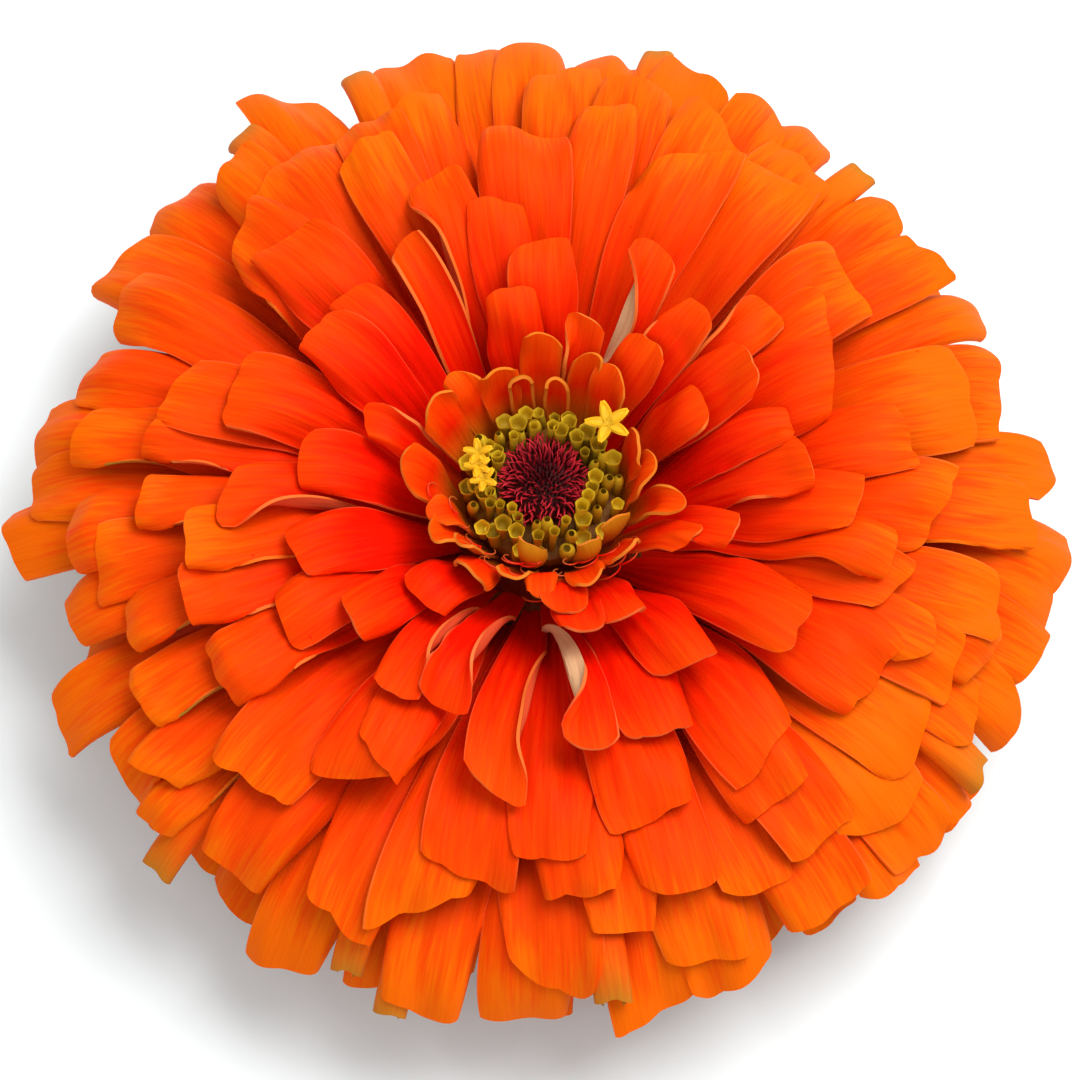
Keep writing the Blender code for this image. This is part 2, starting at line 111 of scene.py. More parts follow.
WAIST_AT = 0.80
WAIST_SPAN = 0.10

# How the petals lie on each other
ROWS = 41
COLUMNS = 21
LAYER_GAP = 0.14
MOST_LIFT = 4.5
LIFT_ROUNDS = 4
LIFT_PASSES = 10
LIFT_BLUR = 4
CELL = 0.4
CELLS = 150
SPLAT = 3
PACKED_RADIUS = 13.0
PACKED_FADE = 3.0
FULL_DROOP = 8.0

# Hidden whorls under the visible petals, down to the one that rests on the surface
HIDDEN_WHORLS = (
    dict(count=20, reach=46.5, width=8.5, height=7.0),
    dict(count=18, reach=44.0, width=8.5, height=3.6),
    dict(count=16, reach=41.0, width=8.5, height=0.4),
)

# Petals by tier: azimuth, reach, width, and how the blade is curled. "+" is the
# margin on the side of rising azimuth, and "-" the other.
RIM = (
    (4.5, 48.5, 6.5, "point"), (355.5, 50.3, 8.5, ""), (349.5, 49, 7.5, ""), (342, 49, 8.5, ""),
    (335.5, 49, 8, ""), (327, 48.3, 7, "tube"), (322.5, 49, 6, "under+"), (316.5, 49, 8, ""),
    (311.5, 49.5, 8, ""), (303, 47.5, 10, ""), (290, 49.8, 10, ""), (281.5, 50.5, 8, ""),
    (277.5, 49, 6.5, "tube"), (269, 50, 10, "under+"), (271, 48, 10, ""), (257, 50, 9.5, ""),
    (254, 50.8, 5.6, "tube"), (248.5, 49.3, 6, "tube"), (241.5, 50.7, 9, ""), (232, 46.5, 9.5, ""),
    (224.5, 50.6, 6, "tube"), (222, 48.5, 6, "under+"), (215, 48.5, 8, ""), (205, 50.2, 8.5, ""),
    (195, 46.3, 7.5, ""), (183, 50, 8, ""), (178, 48.5, 7.5, ""), (170, 48.7, 8.5, ""),
    (164, 46, 9, ""), (148, 49, 10, ""), (138, 51, 10, ""), (127, 50, 6, "tube"),
    (120, 51, 9, ""), (112, 50.6, 6.5, "tube"), (104, 51, 9.5, ""), (97, 49.5, 8, ""),
    (92, 49, 8, ""), (83, 49.5, 8, ""), (77, 50.6, 6, "tube"), (71.5, 49, 10, ""),
    (62, 46.5, 7, "point"), (57, 48.5, 8, "point"), (48, 46, 6, "tube"), (42, 45, 7, "point"),
    (34, 44, 8, ""), (26, 47, 7, "point"), (14, 45, 10, ""),
)
OUTER = (
    (153, 45, 9, ""), (131, 46.5, 9, ""), (126, 42, 10, ""), (187, 44.5, 9.5, "under+"),
    (173, 44.5, 8, "under+"), (192, 43.5, 8, ""), (210.5, 43.5, 8, "under+"), (218.5, 46.3, 8.5, "under+"),
    (246, 46.3, 10, ""), (255, 44.6, 9.5, ""), (289, 46.8, 9, ""), (297.5, 44.6, 8.5, ""),
    (307, 43, 9, ""), (315, 45.3, 10.5, ""), (322.5, 43.8, 9.5, ""), (330.5, 45.8, 8, ""),
    (338, 45.3, 9, "under-"), (343.5, 43.3, 8, ""), (357, 45.6, 9.5, "under-"), (280, 43.6, 8.5, "under+"),
    (78, 43, 8, ""), (87, 46, 8, ""), (66, 42, 8, ""), (53, 42.5, 9, ""),
    (108, 42, 9, ""), (115, 41.5, 8, ""), (13.5, 42, 11.5, ""),
)
MIDDLE = (
    (201, 41.3, 7, "under+"), (138, 39.5, 10, "under+"), (117, 38, 7, ""), (81, 39.5, 7, ""),
    (66, 38, 9, ""), (56, 39, 11, ""), (185, 38.5, 6, "under+"), (174, 38, 7, "under+"),
    (228, 39.8, 10, ""), (259.5, 40, 9.5, ""), (275.5, 41, 9, "under+"), (287, 41.2, 9.5, ""),
    (304.5, 38.8, 9, ""), (334.5, 42.5, 8, ""), (335, 39, 7, "point"), (355, 38, 9.5, ""),
    (241, 36.3, 10, ""), (327.5, 37.5, 10.5, ""),
)
INNER = (
    (137, 35, 9, ""), (167, 36.5, 8, ""), (93.5, 36, 9.5, ""), (35, 36, 9, ""),
    (6.5, 35, 8.5, ""), (341, 35.5, 7, ""), (345.5, 33.3, 8, "under-"), (306.5, 35.8, 10, ""),
    (287, 36.3, 9.5, ""), (271.5, 37.3, 9.5, ""), (262, 32.8, 6.5, "over+"), (242.5, 33.6, 7.5, ""),
    (215.5, 36.3, 8, "under+"), (203, 35.3, 7, "under+"), (194.5, 33.8, 7.5, "under+"), (30, 31, 8, ""),
    (19.5, 29.3, 9.5, ""), (109, 31, 6.5, "over+"), (187, 30, 6.5, "over+"), (165, 29.8, 8, ""),
    (213, 28.8, 7, ""), (293, 28.7, 7.5, ""), (326, 28.8, 8.5, ""), (352, 29.3, 9, ""),
)
CROWNING = (
    (99.5, 27, 7.5, ""), (238.5, 26.3, 5, "over+"), (249, 25.5, 5, "over+"), (279, 28.5, 5.5, "fold-"),
    (36, 26.5, 5, "over+"), (121, 26, 5, "spoon"), (138, 25, 5.5, ""), (149, 25, 7, ""),
    (90, 22.5, 6.5, ""), (63, 24, 5, "fold+"), (46, 21, 5, "under+"), (26, 21.5, 7, ""),
    (9, 23, 6, ""), (357.5, 24.8, 6, "under-"), (180, 22.3, 6.5, ""), (203, 24.5, 7, ""),
    (222.5, 24, 6.5, ""), (304, 24.6, 7.5, ""), (101, 17.5, 6.5, ""), (74, 15, 4, "over+"),
    (51.5, 15.5, 5.5, ""), (23.5, 15.8, 5.5, ""), (337, 19, 5, "under-"), (331, 15.5, 4.5, ""),
    (297, 17.5, 5, ""), (283, 17.3, 5, ""), (230.5, 16.8, 6.5, ""), (165, 16.7, 4, "over-"),
)
YOUNGEST = (
    (91, 13, 4, "young"), (104, 9.5, 3, "folded"), (115, 10.5, 4, "young"), (132, 11.5, 3.5, "young"),
    (150, 12, 4.5, "young"), (182, 12.8, 5, "young"), (205, 10.2, 3.5, "young"), (238, 13, 5, ""),
    (279, 14, 4.5, ""), (343, 12, 3.5, "folded"), (53, 11.2, 4, "young"), (68, 11.5, 3, "folded"),
    (82, 8.6, 3, "folded"), (358, 9.6, 4.5, "young"), (322, 8.7, 3.5, "folded"), (300, 9.4, 3.5, "folded"),
    (264, 8.6, 4, "folded"), (14, 8.9, 4, "young"), (255, 11.3, 3.4, "folded"), (269, 11.8, 3, "young"),
    (291, 12.6, 3.8, "young"), (214, 12.2, 3.6, "young"), (226, 10.6, 3, "folded"), (311, 12.3, 3.6, "young"),
)

# Pieces that the petals are joined into, each with its tier and its share of that tier
PETAL_PIECES = (
    ("rim_petals", RIM, 3),
    ("outer_petals", OUTER, 2),
    ("middle_petals", MIDDLE, 1),
    ("inner_petals", INNER, 2),
    ("crown_petals", CROWNING, 1),
    ("youngest_petals", YOUNGEST, 1),
)

# Degrees that the blade arches and that each margin turns, down if negative, the tip's
# shape, where the turn starts and over how much of the half width, and the margins' waves
Habit = namedtuple(
    "Habit",
    "crown plus minus tip_depth tip_power start span wave_plus wave_minus",
    defaults=(0.25, 0.75, 0, 0),
)

HABITS = {
    "": Habit(34, 0, 0, 0.12, 7.0),
    "point": Habit(34, 0, 0, 0.75, 1.6),
    "tube": Habit(45, -150, -150, -0.45, 1.5, 0.2, 0.8),
    "under+": Habit(26, -75, 0, 0.12, 7.0, 0.4, 0.6, 2.3, 0),
    "under-": Habit(26, 0, -75, 0.12, 7.0, 0.4, 0.6, 0, 2.3),
    "over+": Habit(10, 150, 0, 0.30, 3.6, 0.2, 0.7, 1.0, 0),
    "over-": Habit(10, 0, 150, 0.30, 3.6, 0.2, 0.7, 0, 1.0),
    "fold+": Habit(8, 168, 0, 0.40, 3.0, 0.05, 0.35, 0.4, 0),
    "fold-": Habit(8, 0, 168, 0.40, 3.0, 0.05, 0.35, 0, 0.4),
    "spoon": Habit(-30, 50, 50, 0.45, 2.2),
    "young": Habit(-22, 0, 0, 0.55, 2.3),
    "folded": Habit(-60, 30, 30, 0.50, 2.2),
}

Petal = namedtuple(
    "Petal",
    "azimuth reach width habit height sweep roll slant lobes curl twist arch corners phases warmth chance",
)

# Petals that are plainly yellower than their neighbours, by azimuth and reach
GOLDEN = {(315, 45.3): 0.35, (194.5, 33.8): 0.2, (13.5, 42): 0.25, (355.5, 50.3): 0.1, (322.5, 43.8): 0.2}

# Petals whose folded-over margin shows a cream underside
CREAM = ((63, 24), (279, 28.5))


def length(name, description, default):
    return FloatProperty(name=name, description=description, default=default, unit="LENGTH", precision=5)


def angle(name, description, degrees):
    return FloatProperty(name=name, description=description, default=math.radians(degrees), subtype="ANGLE")


def colour(name, description, default):
    return FloatVectorProperty(
        name=name, description=description, default=default, subtype="COLOR", size=3, min=0, max=1
    )


class ZinniaHeadSizes(PropertyGroup):
    """Sizes of the petals and of the dome that they make."""

    crest_height: length("Crest height", "Height of the dome's crest over the surface", 0.028)
    rim_fall: length("Rim fall", "How far the rim lies below the crest", 0.0165)
    petal_thickness: length("Petal thickness", "Thickness of a petal's blade", 0.0003)
    ripple: length("Ripple", "Height of the waves in a petal's margins", 0.0005)
    swell: length("Swell", "Height of the slow waves over a petal", 0.0008)
    pleat: length("Pleat", "Height of the long soft folds in a petal", 0.00012)
    tip_curl: length("Tip curl", "Most that a petal's tip bends up or down", 0.0018)
    veins: IntProperty(name="Veins", description="Long folds across a petal", default=5, min=1, max=12)


class ZinniaColours(PropertyGroup):
    """Colours of the flower, as they are in even light, save the painted shade at the petals' bases and in the
    near-black core, and the pale edge line, which is partly a painted highlight.
    """

    # petal_deep is painted shade: the deep red that the petals' bases take where they shade each other. It also
    # colours the specks and the styles' roots.
    petal_deep: colour("Petal, deep", "Upper side at the base of the inner petals", (0.84, 0.007, 0.0003))
    petal_shade: colour("Petal, shade", "The core between the petals' bases", (0.16, 0.006, 0.001))
    petal_red: colour("Petal, red", "Upper side of the inner petals", (0.88, 0.026, 0.0004))
    petal_orange: colour("Petal, orange", "Upper side of the outer petals", (0.88, 0.068, 0.0005))
    petal_gold: colour("Petal, gold", "Upper side of the yellowest petals", (0.86, 0.135, 0.0006))
    # The pale line round a petal is partly its paler underside showing at the margin and partly a painted highlight
    # where the edge catches light.
    edge_line_and_highlight: colour("Petal edge", "The pale line round a petal", (0.80, 0.17, 0.055))
    under_salmon: colour("Underside, salmon", "Underside of most inner petals", (0.82, 0.10, 0.035))
    under_cream: colour("Underside, cream", "Underside of a few inner petals", (0.76, 0.48, 0.26))
    under_olive: colour("Underside, olive", "Underside of the outer petals' tips", (0.40, 0.21, 0.02))
    floret_green: colour("Floret, green", "The young tube florets", (0.44, 0.27, 0.010))
    floret_lip: colour("Floret, lip", "The mouths of the tube florets", (0.76, 0.54, 0.02))
    floret_gold: colour("Floret, gold", "The opened star florets", (0.90, 0.47, 0.008))
    young_gold: colour("Petal, young", "Base and margins of the youngest petals", (0.58, 0.24, 0.008))
    disc_crimson: colour("Disc, crimson", "Tips of the bristles", (0.70, 0.018, 0.034))
    disc_dark: colour("Disc, dark", "Between the bristles", (0.07, 0.002, 0.004))
    style_brown: colour("Style", "The curled threads between the inner petals", (0.50, 0.12, 0.02))
    bract_green: colour("Bract", "The bracts of the cup", (0.13, 0.24, 0.06))
    bract_edge: colour("Bract margin", "The dark margin of a bract", (0.035, 0.035, 0.02))
    stem_green: colour("Stem", "The stem's skin", (0.20, 0.31, 0.08))
    stem_pith: colour("Stem, cut", "The cut end of the stem", (0.62, 0.66, 0.42))
    floor_white: colour("Floor", "The surface that the flower lies on", (0.88, 0.93, 0.93))


class ZinniaStageSizes(PropertyGroup):
    """The camera's place and the lights."""

    elevation: angle("Elevation", "The camera's height over the horizon", 68)
    distance: length("Distance", "From the camera to the flower", 0.5)
    lens: FloatProperty(name="Lens", description="Focal length in millimetres", default=177.5)
    aim_right: length("Aim right", "How far the view's middle lies to the right of the flower", -0.00028)
    aim_down: length("Aim down", "How far the view's middle lies below the flower", 0.00141)
    aim_height: length("Aim height", "Height of the point that the camera aims at", 0.012)
    key_power: FloatProperty(name="Key light", description="Power of the key light in watts", default=10.0)
    floor_glow: FloatProperty(name="Floor glow", description="Light from under the paper", default=0.06)
    sky_strength: FloatProperty(name="Sky", description="Strength of the even light", default=0.56)


def head_sizes():
    return bpy.context.scene.zinnia_head


def colours():
    return bpy.context.scene.zinnia_colours


# Meshes


def deselect():
    bpy.ops.object.select_all(action="DESELECT")


def points_of(obj):
    points = np.empty(3 * len(obj.data.vertices))
    obj.data.vertices.foreach_get("co", points)
    return points.reshape(-1, 3)


def place_points(obj, points):
    """Gives the mesh new points, in millimetres."""
    obj.data.vertices.foreach_set("co", (np.asarray(points) * MM).ravel())
    obj.data.update()


def copied(blank, name):
    made = blank.copy()
    made.data = blank.data.copy()
    made.name = name
    bpy.context.scene.collection.objects.link(made)
    return made


def set_values(obj, name, values):
    """Writes a vector for each vertex, or one for all of them, as an attribute of the mesh."""
    attribute = obj.data.attributes.new(name, "FLOAT_VECTOR", "POINT")
    values = np.broadcast_to(np.asarray(values, np.float32), (len(obj.data.vertices), 3))
    attribute.data.foreach_set("vector", values.ravel())


def joined(pieces, name):
    deselect()
    for piece in pieces:
        piece.select_set(True)
    bpy.context.view_layer.objects.active = pieces[0]
    if len(pieces) > 1:
        bpy.ops.object.join()
    made = bpy.context.view_layer.objects.active
    made.name = name
    made.data.name = name
    return made


def apply_modifier(obj, kind, **settings):
    modifier = obj.modifiers.new(kind.title(), kind)
    for name, value in settings.items():
        setattr(modifier, name, value)
    deselect()
    obj.select_set(True)
    bpy.context.view_layer.objects.active = obj
    bpy.ops.object.modifier_apply(modifier=modifier.name)


def thicken(obj, thickness, under=0, rim=0):
    apply_modifier(
        obj, "SOLIDIFY", thickness=thickness, offset=0, material_offset=under, material_offset_rim=rim
    )


def smooth(obj, degrees=50):
    deselect()
    obj.select_set(True)
    bpy.context.view_layer.objects.active = obj
    bpy.ops.object.shade_smooth_by_angle(angle=math.radians(degrees))


def dress(obj, *materials):
    for made in materials:
        obj.data.materials.append(made)


def finish_piece(obj, slot, *nodes):
    """Gives a piece its place in the frame."""
    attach(obj, "root")
    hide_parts(*nodes)


def grid_blank(columns, rows):
    """A flat grid, 1 wide and 1 long, whose UV map runs across and along it."""
    deselect()
    bpy.ops.mesh.primitive_grid_add(x_subdivisions=columns - 1, y_subdivisions=rows - 1, size=1)
    blank = bpy.context.active_object
    blank.data.uv_layers[0].name = "Blade"
    return blank


def laid_on(blank, name, grid):
    """A copy of the flat grid with its points moved to a grid of places, rows by columns."""
    rows, columns = grid.shape[:2]
    flat = points_of(blank)
    column = np.rint((0.5 - flat[:, 0]) * (columns - 1)).astype(int)
    row = np.rint((flat[:, 1] + 0.5) * (rows - 1)).astype(int)
    made = copied(blank, name)
    place_points(made, grid[row, column])
    return made, row, column


def stalk_blank(sides, steps, hollow=0.0):
    """An upright stalk, 1 high and 1 in radius, and with a hollow in its top if asked for."""
    deselect()
    bpy.ops.mesh.primitive_circle_add(vertices=sides, radius=1, fill_type="NGON")
    blank = bpy.context.active_object
    bpy.ops.object.mode_set(mode="EDIT")
    bpy.ops.mesh.select_all(action="SELECT")
    for _ in range(steps):
        bpy.ops.mesh.extrude_region_move(TRANSFORM_OT_translate={"value": (0, 0, 1 / steps)})
    if hollow:
        bpy.ops.mesh.inset(thickness=hollow)
        for _ in range(2):
            bpy.ops.mesh.extrude_region_move(TRANSFORM_OT_translate={"value": (0, 0, -1 / steps)})
    bpy.ops.mesh.select_all(action="SELECT")
    bpy.ops.mesh.normals_make_consistent(inside=False)
    bpy.ops.object.mode_set(mode="OBJECT")
    return blank


def swept(blank, name, line, radii):
    """A copy of an upright stalk, bent along a line of points and as wide as the radii there."""
    line = np.asarray(line, float)
    flat = points_of(blank)
    share = np.clip(flat[:, 2], 0, 1) * (len(line) - 1)
    along = np.gradient(line, axis=0)
    along /= np.linalg.norm(along, axis=1, keepdims=True)
    side = np.cross(along, (0, 0, 1.0) if abs(along[0, 2]) < 0.8 else (1.0, 0, 0))
    side /= np.linalg.norm(side, axis=1, keepdims=True)
    other = np.cross(along, side)
    steps = np.arange(len(line))

    def at(values):
        return np.stack([np.interp(share, steps, values[:, k]) for k in range(3)], axis=-1)

    width = np.interp(share, np.linspace(0, len(line) - 1, len(radii)), radii)[:, None]
    points = at(line) + width * (flat[:, :1] * at(side) + flat[:, 1:2] * at(other))
    made = copied(blank, name)
    place_points(made, points)
    return made, np.clip(flat[:, 2], 0, 1)


def drop(blank):
    bpy.data.objects.remove(blank)


# Petal shapes


def dome_height(reach):
    """Height of the dome's surface, where petal tips of this reach lie."""
    head = head_sizes()
    crest, fall = head.crest_height / MM, head.rim_fall / MM
    if reach > CREST_REACH:
        return crest - fall * ((reach - CREST_REACH) / (RIM_REACH - CREST_REACH)) ** RIM_POWER
    return crest - HEART_FALL * ((CREST_REACH - reach) / (CREST_REACH - HEART_REACH)) ** 2


def dome_angle(reach):
    """Angle at which a petal of this reach arrives at its tip, in radians."""
    step = 0.5
    slope = (dome_height(reach + step) - dome_height(reach - step)) / (2 * step)
    upright = math.radians(UPRIGHT) * math.exp(-(reach - HEART_REACH) / UPRIGHT_FADE)
    return math.atan(slope) + upright


def read_petal(azimuth, reach, width, habit):
    """One petal of the layout, with the small differences that only it has."""
    draw = random.Random(round(10 * azimuth + reach))
    sweep = draw.uniform(-5, 5)
    roll = draw.uniform(-9, 9)
    slant = draw.uniform(-SLANT, SLANT) * draw.random() ** 0.5
    lobes = draw.uniform(*LOBE_DEPTH)
    curl = draw.uniform(-1, 0.6)
    twist = draw.uniform(-11, 11)
    arch = draw.uniform(0.2, 1.25)
    corners = (draw.uniform(-150, 50), draw.uniform(-150, 50))
    phases = (draw.random(), draw.random(), draw.random())
    turn = math.radians(azimuth)
    # The sine and cosine of the azimuth paint light and shade: the back and right of the head more orange, the front
    # and left redder, as the light falls there.
    warmth = ((reach - 8) / 43) ** 0.95 + 0.08 * math.sin(turn) + 0.04 * math.cos(turn)
    warmth = warmth + draw.uniform(-0.09, 0.09) + GOLDEN.get((azimuth, reach), 0)
    height = dome_height(reach) + draw.uniform(-0.3, 0.8) * (reach > CREST_REACH)
    chance = 1.0 if (azimuth, reach) in CREAM else 0.6 * draw.random()
    return Petal(
        *(azimuth, reach, width, habit, height, sweep, roll, slant, lobes),
        *(curl, twist, arch, corners, phases, warmth, chance),
    )


def hidden_petals():
    draw = random.Random(SEED)
    petals = []
    for whorl in HIDDEN_WHORLS:
        for i in range(whorl["count"]):
            azimuth = 360 * (i + draw.uniform(-0.15, 0.15)) / whorl["count"]
            reach = whorl["reach"] + draw.uniform(-1, 1)
            petal = read_petal(azimuth, reach, whorl["width"], "")
            petals.append(petal._replace(height=whorl["height"], roll=0, curl=0, twist=0, warmth=0.8))
    return petals


def midline(petal, t):
    """Radius, height and slope angle of the petal's middle at t, 0 at its root and 1 at its tip."""
    share = min(max((petal.reach - HEART_REACH) / (RIM_REACH - HEART_REACH), 0.0), 1.0)
    low = petal.height < dome_height(petal.reach) - 2
    root = (
        ROOT_RADII[0] + (ROOT_RADII[1] - ROOT_RADII[0]) * share,
        ROOT_TOP - ROOT_DROP * share**ROOT_POWER,
    )
    rise = math.radians(RISE[0] + (RISE[1] - RISE[0]) * math.sqrt(share))
    fall = dome_angle(petal.reach) + math.radians(22) * (petal.habit == "folded")
    if low:
        rise = math.radians(LOW_RISE + petal.height)
        fall = math.radians(LOW_FALL)
    span = math.hypot(petal.reach - root[0], petal.height - root[1])
    near = (root[0] + HANDLES[0] * span * math.cos(rise), root[1] + HANDLES[0] * span * math.sin(rise))
    far = (
        petal.reach - HANDLES[1] * span * math.cos(fall),
        petal.height - HANDLES[1] * span * math.sin(fall),
    )
    corners = np.array([root, near, far, (petal.reach, petal.height)])
    blend = np.stack([(1 - t) ** 3, 3 * t * (1 - t) ** 2, 3 * t**2 * (1 - t), t**3], axis=-1)
    turn = np.stack([-((1 - t) ** 2), (1 - t) * (1 - 3 * t), t * (2 - 3 * t), t**2], axis=-1)
    place = blend @ corners
    heading = turn @ corners
    return place[..., 0], place[..., 1], np.arctan2(heading[..., 1], heading[..., 0])


def corner_part(rows):
    """How far each row is on its way into the tip's corners, from 0 to 1."""
    return np.clip((rows - CORNER_FROM) / (1 - CORNER_FROM), 0, 1) ** 2


def small(petal):
    """Near 0 for a small petal and 1 for a large one, whose waves and lobes are larger."""
    return min(petal.width / 9, 1) ** 2


def section(petal, rows, u):
    """Sideways and upward offsets across the blade for a half width of 1, one row for each in rows."""
    habit = HABITS[petal.habit]
    outer = np.clip((np.abs(u) - habit.start) / habit.span, 0, 1) ** MARGIN_POWER
    margin = np.where(u > 0, habit.plus, habit.minus)
    to_tip = np.clip((rows - CURL_FROM) / CURL_SPAN, 0, 1)[:, None]
    midway = np.sin(np.pi * np.clip((rows - FOLD_FROM) / FOLD_SPAN, 0, 1))[:, None] ** 0.7
    curl = np.where(margin > TURNED_OVER, midway, to_tip)
    arched = (np.where(u > 0, habit.wave_plus, habit.wave_minus) > 0) & (margin < 0)
    corner = np.clip((np.abs(u) - 0.6) / 0.4, 0, 1)
    near_tip = np.clip((rows - 0.6) / 0.4, 0, 1)[:, None]
    turn = -habit.crown * petal.arch * np.abs(u) + margin * outer * curl
    turn = turn + np.where(u > 0, *petal.corners) * corner * near_tip * (margin == 0)
    turn = np.radians(turn + CORNER_TURN * corner * corner_part(rows)[:, None] * arched)
    step = u[1] - u[0]
    middle = len(u) // 2
    across = np.cumsum(np.cos(turn), axis=1) * step
    upward = np.cumsum(np.sin(turn) * np.sign(u), axis=1) * step
    return across - across[:, middle : middle + 1], upward - upward[:, middle : middle + 1]


def waves(petal, rows, u):
    """Height of the margins' waves and ripples and of the long folds, in millimetres."""
    head = head_sizes()
    habit = HABITS[petal.habit]
    arch = np.exp(-(((rows - ARCH_AT) / ARCH_SPAN) ** 2)) - 0.4 * corner_part(rows)
    swing = np.where(u > 0, habit.wave_plus, habit.wave_minus) * np.abs(u) ** 2.5 * arch[:, None]
    first, second, third = petal.phases
    side = np.where(u > 0, first, second)
    ripple = np.sin(2 * np.pi * (1.6 * rows[:, None] + side)) * np.abs(u) ** 2 * rows[:, None] ** 1.5
    fold = np.cos(np.pi * head.veins * u + 2 * np.pi * third) * np.sin(np.pi * rows[:, None]) ** 0.5
    swell = np.sin(2 * np.pi * (0.9 * rows[:, None] + second)) * np.cos(np.pi * (0.8 * u + first))
    swell = 0.5 * (swell + np.sin(2 * np.pi * (1.5 * rows[:, None] - 0.5 * u + third)))
    swell = head.swell / MM * swell * np.sin(np.pi / 2 * rows[:, None])
    flutter = np.sin(2 * np.pi * (1.1 * u + first + third)) * rows[:, None] ** 6
    ripple = head.ripple / MM * (ripple + 0.3 * flutter)
    return swing + small(petal) * (swell + ripple + head.pleat / MM * fold)


def tip_cut(petal, u):
    """How far the tip is cut back across it, in half widths, by its round corners, slant and lobes."""
    habit = HABITS[petal.habit]
    rounding = min(max((ROUND_REACH - petal.reach) / ROUND_SPAN, 0), 1) * (habit.tip_power > 4)
    depth, power = habit.tip_depth + 0.32 * rounding, habit.tip_power - 4.4 * rounding
    lobes = petal.lobes * small(petal) * (1 - np.abs(np.cos(LOBE_TURN * u + np.pi * petal.phases[1])))
    cut = depth * np.abs(u) ** power + petal.slant * (1 - 0.6 * rounding) * (depth > 0) * u + lobes
    return cut - cut.min()


def surface(petal):
    """The blade's middle surface as a grid of points, rows from root to tip and columns across."""
    habit = HABITS[petal.habit]
    rows = np.linspace(0, 1, ROWS)
    u = np.linspace(-1, 1, COLUMNS)
    reach_out = math.hypot(petal.reach - ROOT_RADII[0], petal.height - ROOT_TOP)
    half_share = petal.width / 2 / reach_out
    t = rows[:, None] * (1 - half_share * tip_cut(petal, u))
    radius, height, slope = midline(petal, t)
    claw = CLAW_WIDTH / petal.width
    spread = claw + (1 - claw) * np.sin(np.pi / 2 * np.clip(rows / WIDEST_AT, 0, 1)) ** CLAW_POWER
    spread = spread - TIP_NARROWING * np.clip((rows - WIDEST_AT) / (1 - WIDEST_AT), 0, 1) ** 2
    across, upward = section(petal, rows, u)
    phase = np.where(u > 0, petal.phases[0], petal.phases[2])
    wobble = MARGIN_WOBBLE * rows[:, None] * np.sin(2 * np.pi * (1.3 * rows[:, None] + phase))
    turned = np.where(u > 0, habit.plus, habit.minus) > TURNED_OVER
    waist = WAIST * turned * np.exp(-(((rows - WAIST_AT) / WAIST_SPAN) ** 2))[:, None]
    half = (petal.width / 2 * spread)[:, None] * (1 + wobble - waist)
    roll = np.radians(petal.roll * rows + petal.twist * rows**2)[:, None]
    lifted = upward * half + waves(petal, rows, u)
    side = half * across * np.cos(roll) - lifted * np.sin(roll)
    rise = half * across * np.sin(roll) + lifted * np.cos(roll)
    rise = rise + petal.curl * head_sizes().tip_curl / MM * np.clip((t - 0.75) / 0.25, 0, 1) ** 2
    azimuth = np.radians(petal.azimuth + petal.sweep * (1 - t) ** 2)
    out = radius - rise * np.sin(slope)
    x = out * np.cos(azimuth) - side * np.sin(azimuth)
    y = out * np.sin(azimuth) + side * np.cos(azimuth)
    return np.stack([x, y, height + rise * np.cos(slope)], axis=-1)


def blurred(values):
    wide = np.pad(values, 1, mode="edge")
    along = (wide[:-2, 1:-1] + 2 * wide[1:-1, 1:-1] + wide[2:, 1:-1]) / 4
    across = (wide[1:-1, :-2] + 2 * wide[1:-1, 1:-1] + wide[1:-1, 2:]) / 4
    return (along + across) / 2


def spread_out(need):
    """A smooth lift over the needed one."""
    lift = need
    for _ in range(LIFT_PASSES):
        lift = np.maximum(need, blurred(lift))
    for _ in range(LIFT_BLUR):
        lift = blurred(lift)
    return lift


def rested(petal, grid):
    """A lowest petal, its droop set so that its tip just meets the surface."""
    if petal.height > HIDDEN_WHORLS[-1]["height"]:
        return grid
    low = grid[..., 2].min() - head_sizes().petal_thickness / MM / 2
    root = grid[0, :, 2].mean()
    grid[..., 2] = root + (grid[..., 2] - root) * root / (root - low)
    return grid


def cells_of(grid):
    index = np.clip((grid[..., :2] / CELL).astype(int) + CELLS, 0, 2 * CELLS - 1)
    return index[..., 0], index[..., 1]


def finer(grid):
    """The grid with more points between its own, so that it leaves no cell under it empty."""
    rows, columns = grid.shape[:2]
    down = np.linspace(0, rows - 1, SPLAT * rows)
    over = np.linspace(0, columns - 1, SPLAT * columns)
    i, j = np.minimum(down.astype(int), rows - 2), np.minimum(over.astype(int), columns - 2)
    a, b = (down - i)[:, None, None], (over - j)[None, :, None]
    upper = grid[np.ix_(i, j)] * (1 - b) + grid[np.ix_(i, j + 1)] * b
    lower = grid[np.ix_(i + 1, j)] * (1 - b) + grid[np.ix_(i + 1, j + 1)] * b
    return upper * (1 - a) + lower * a


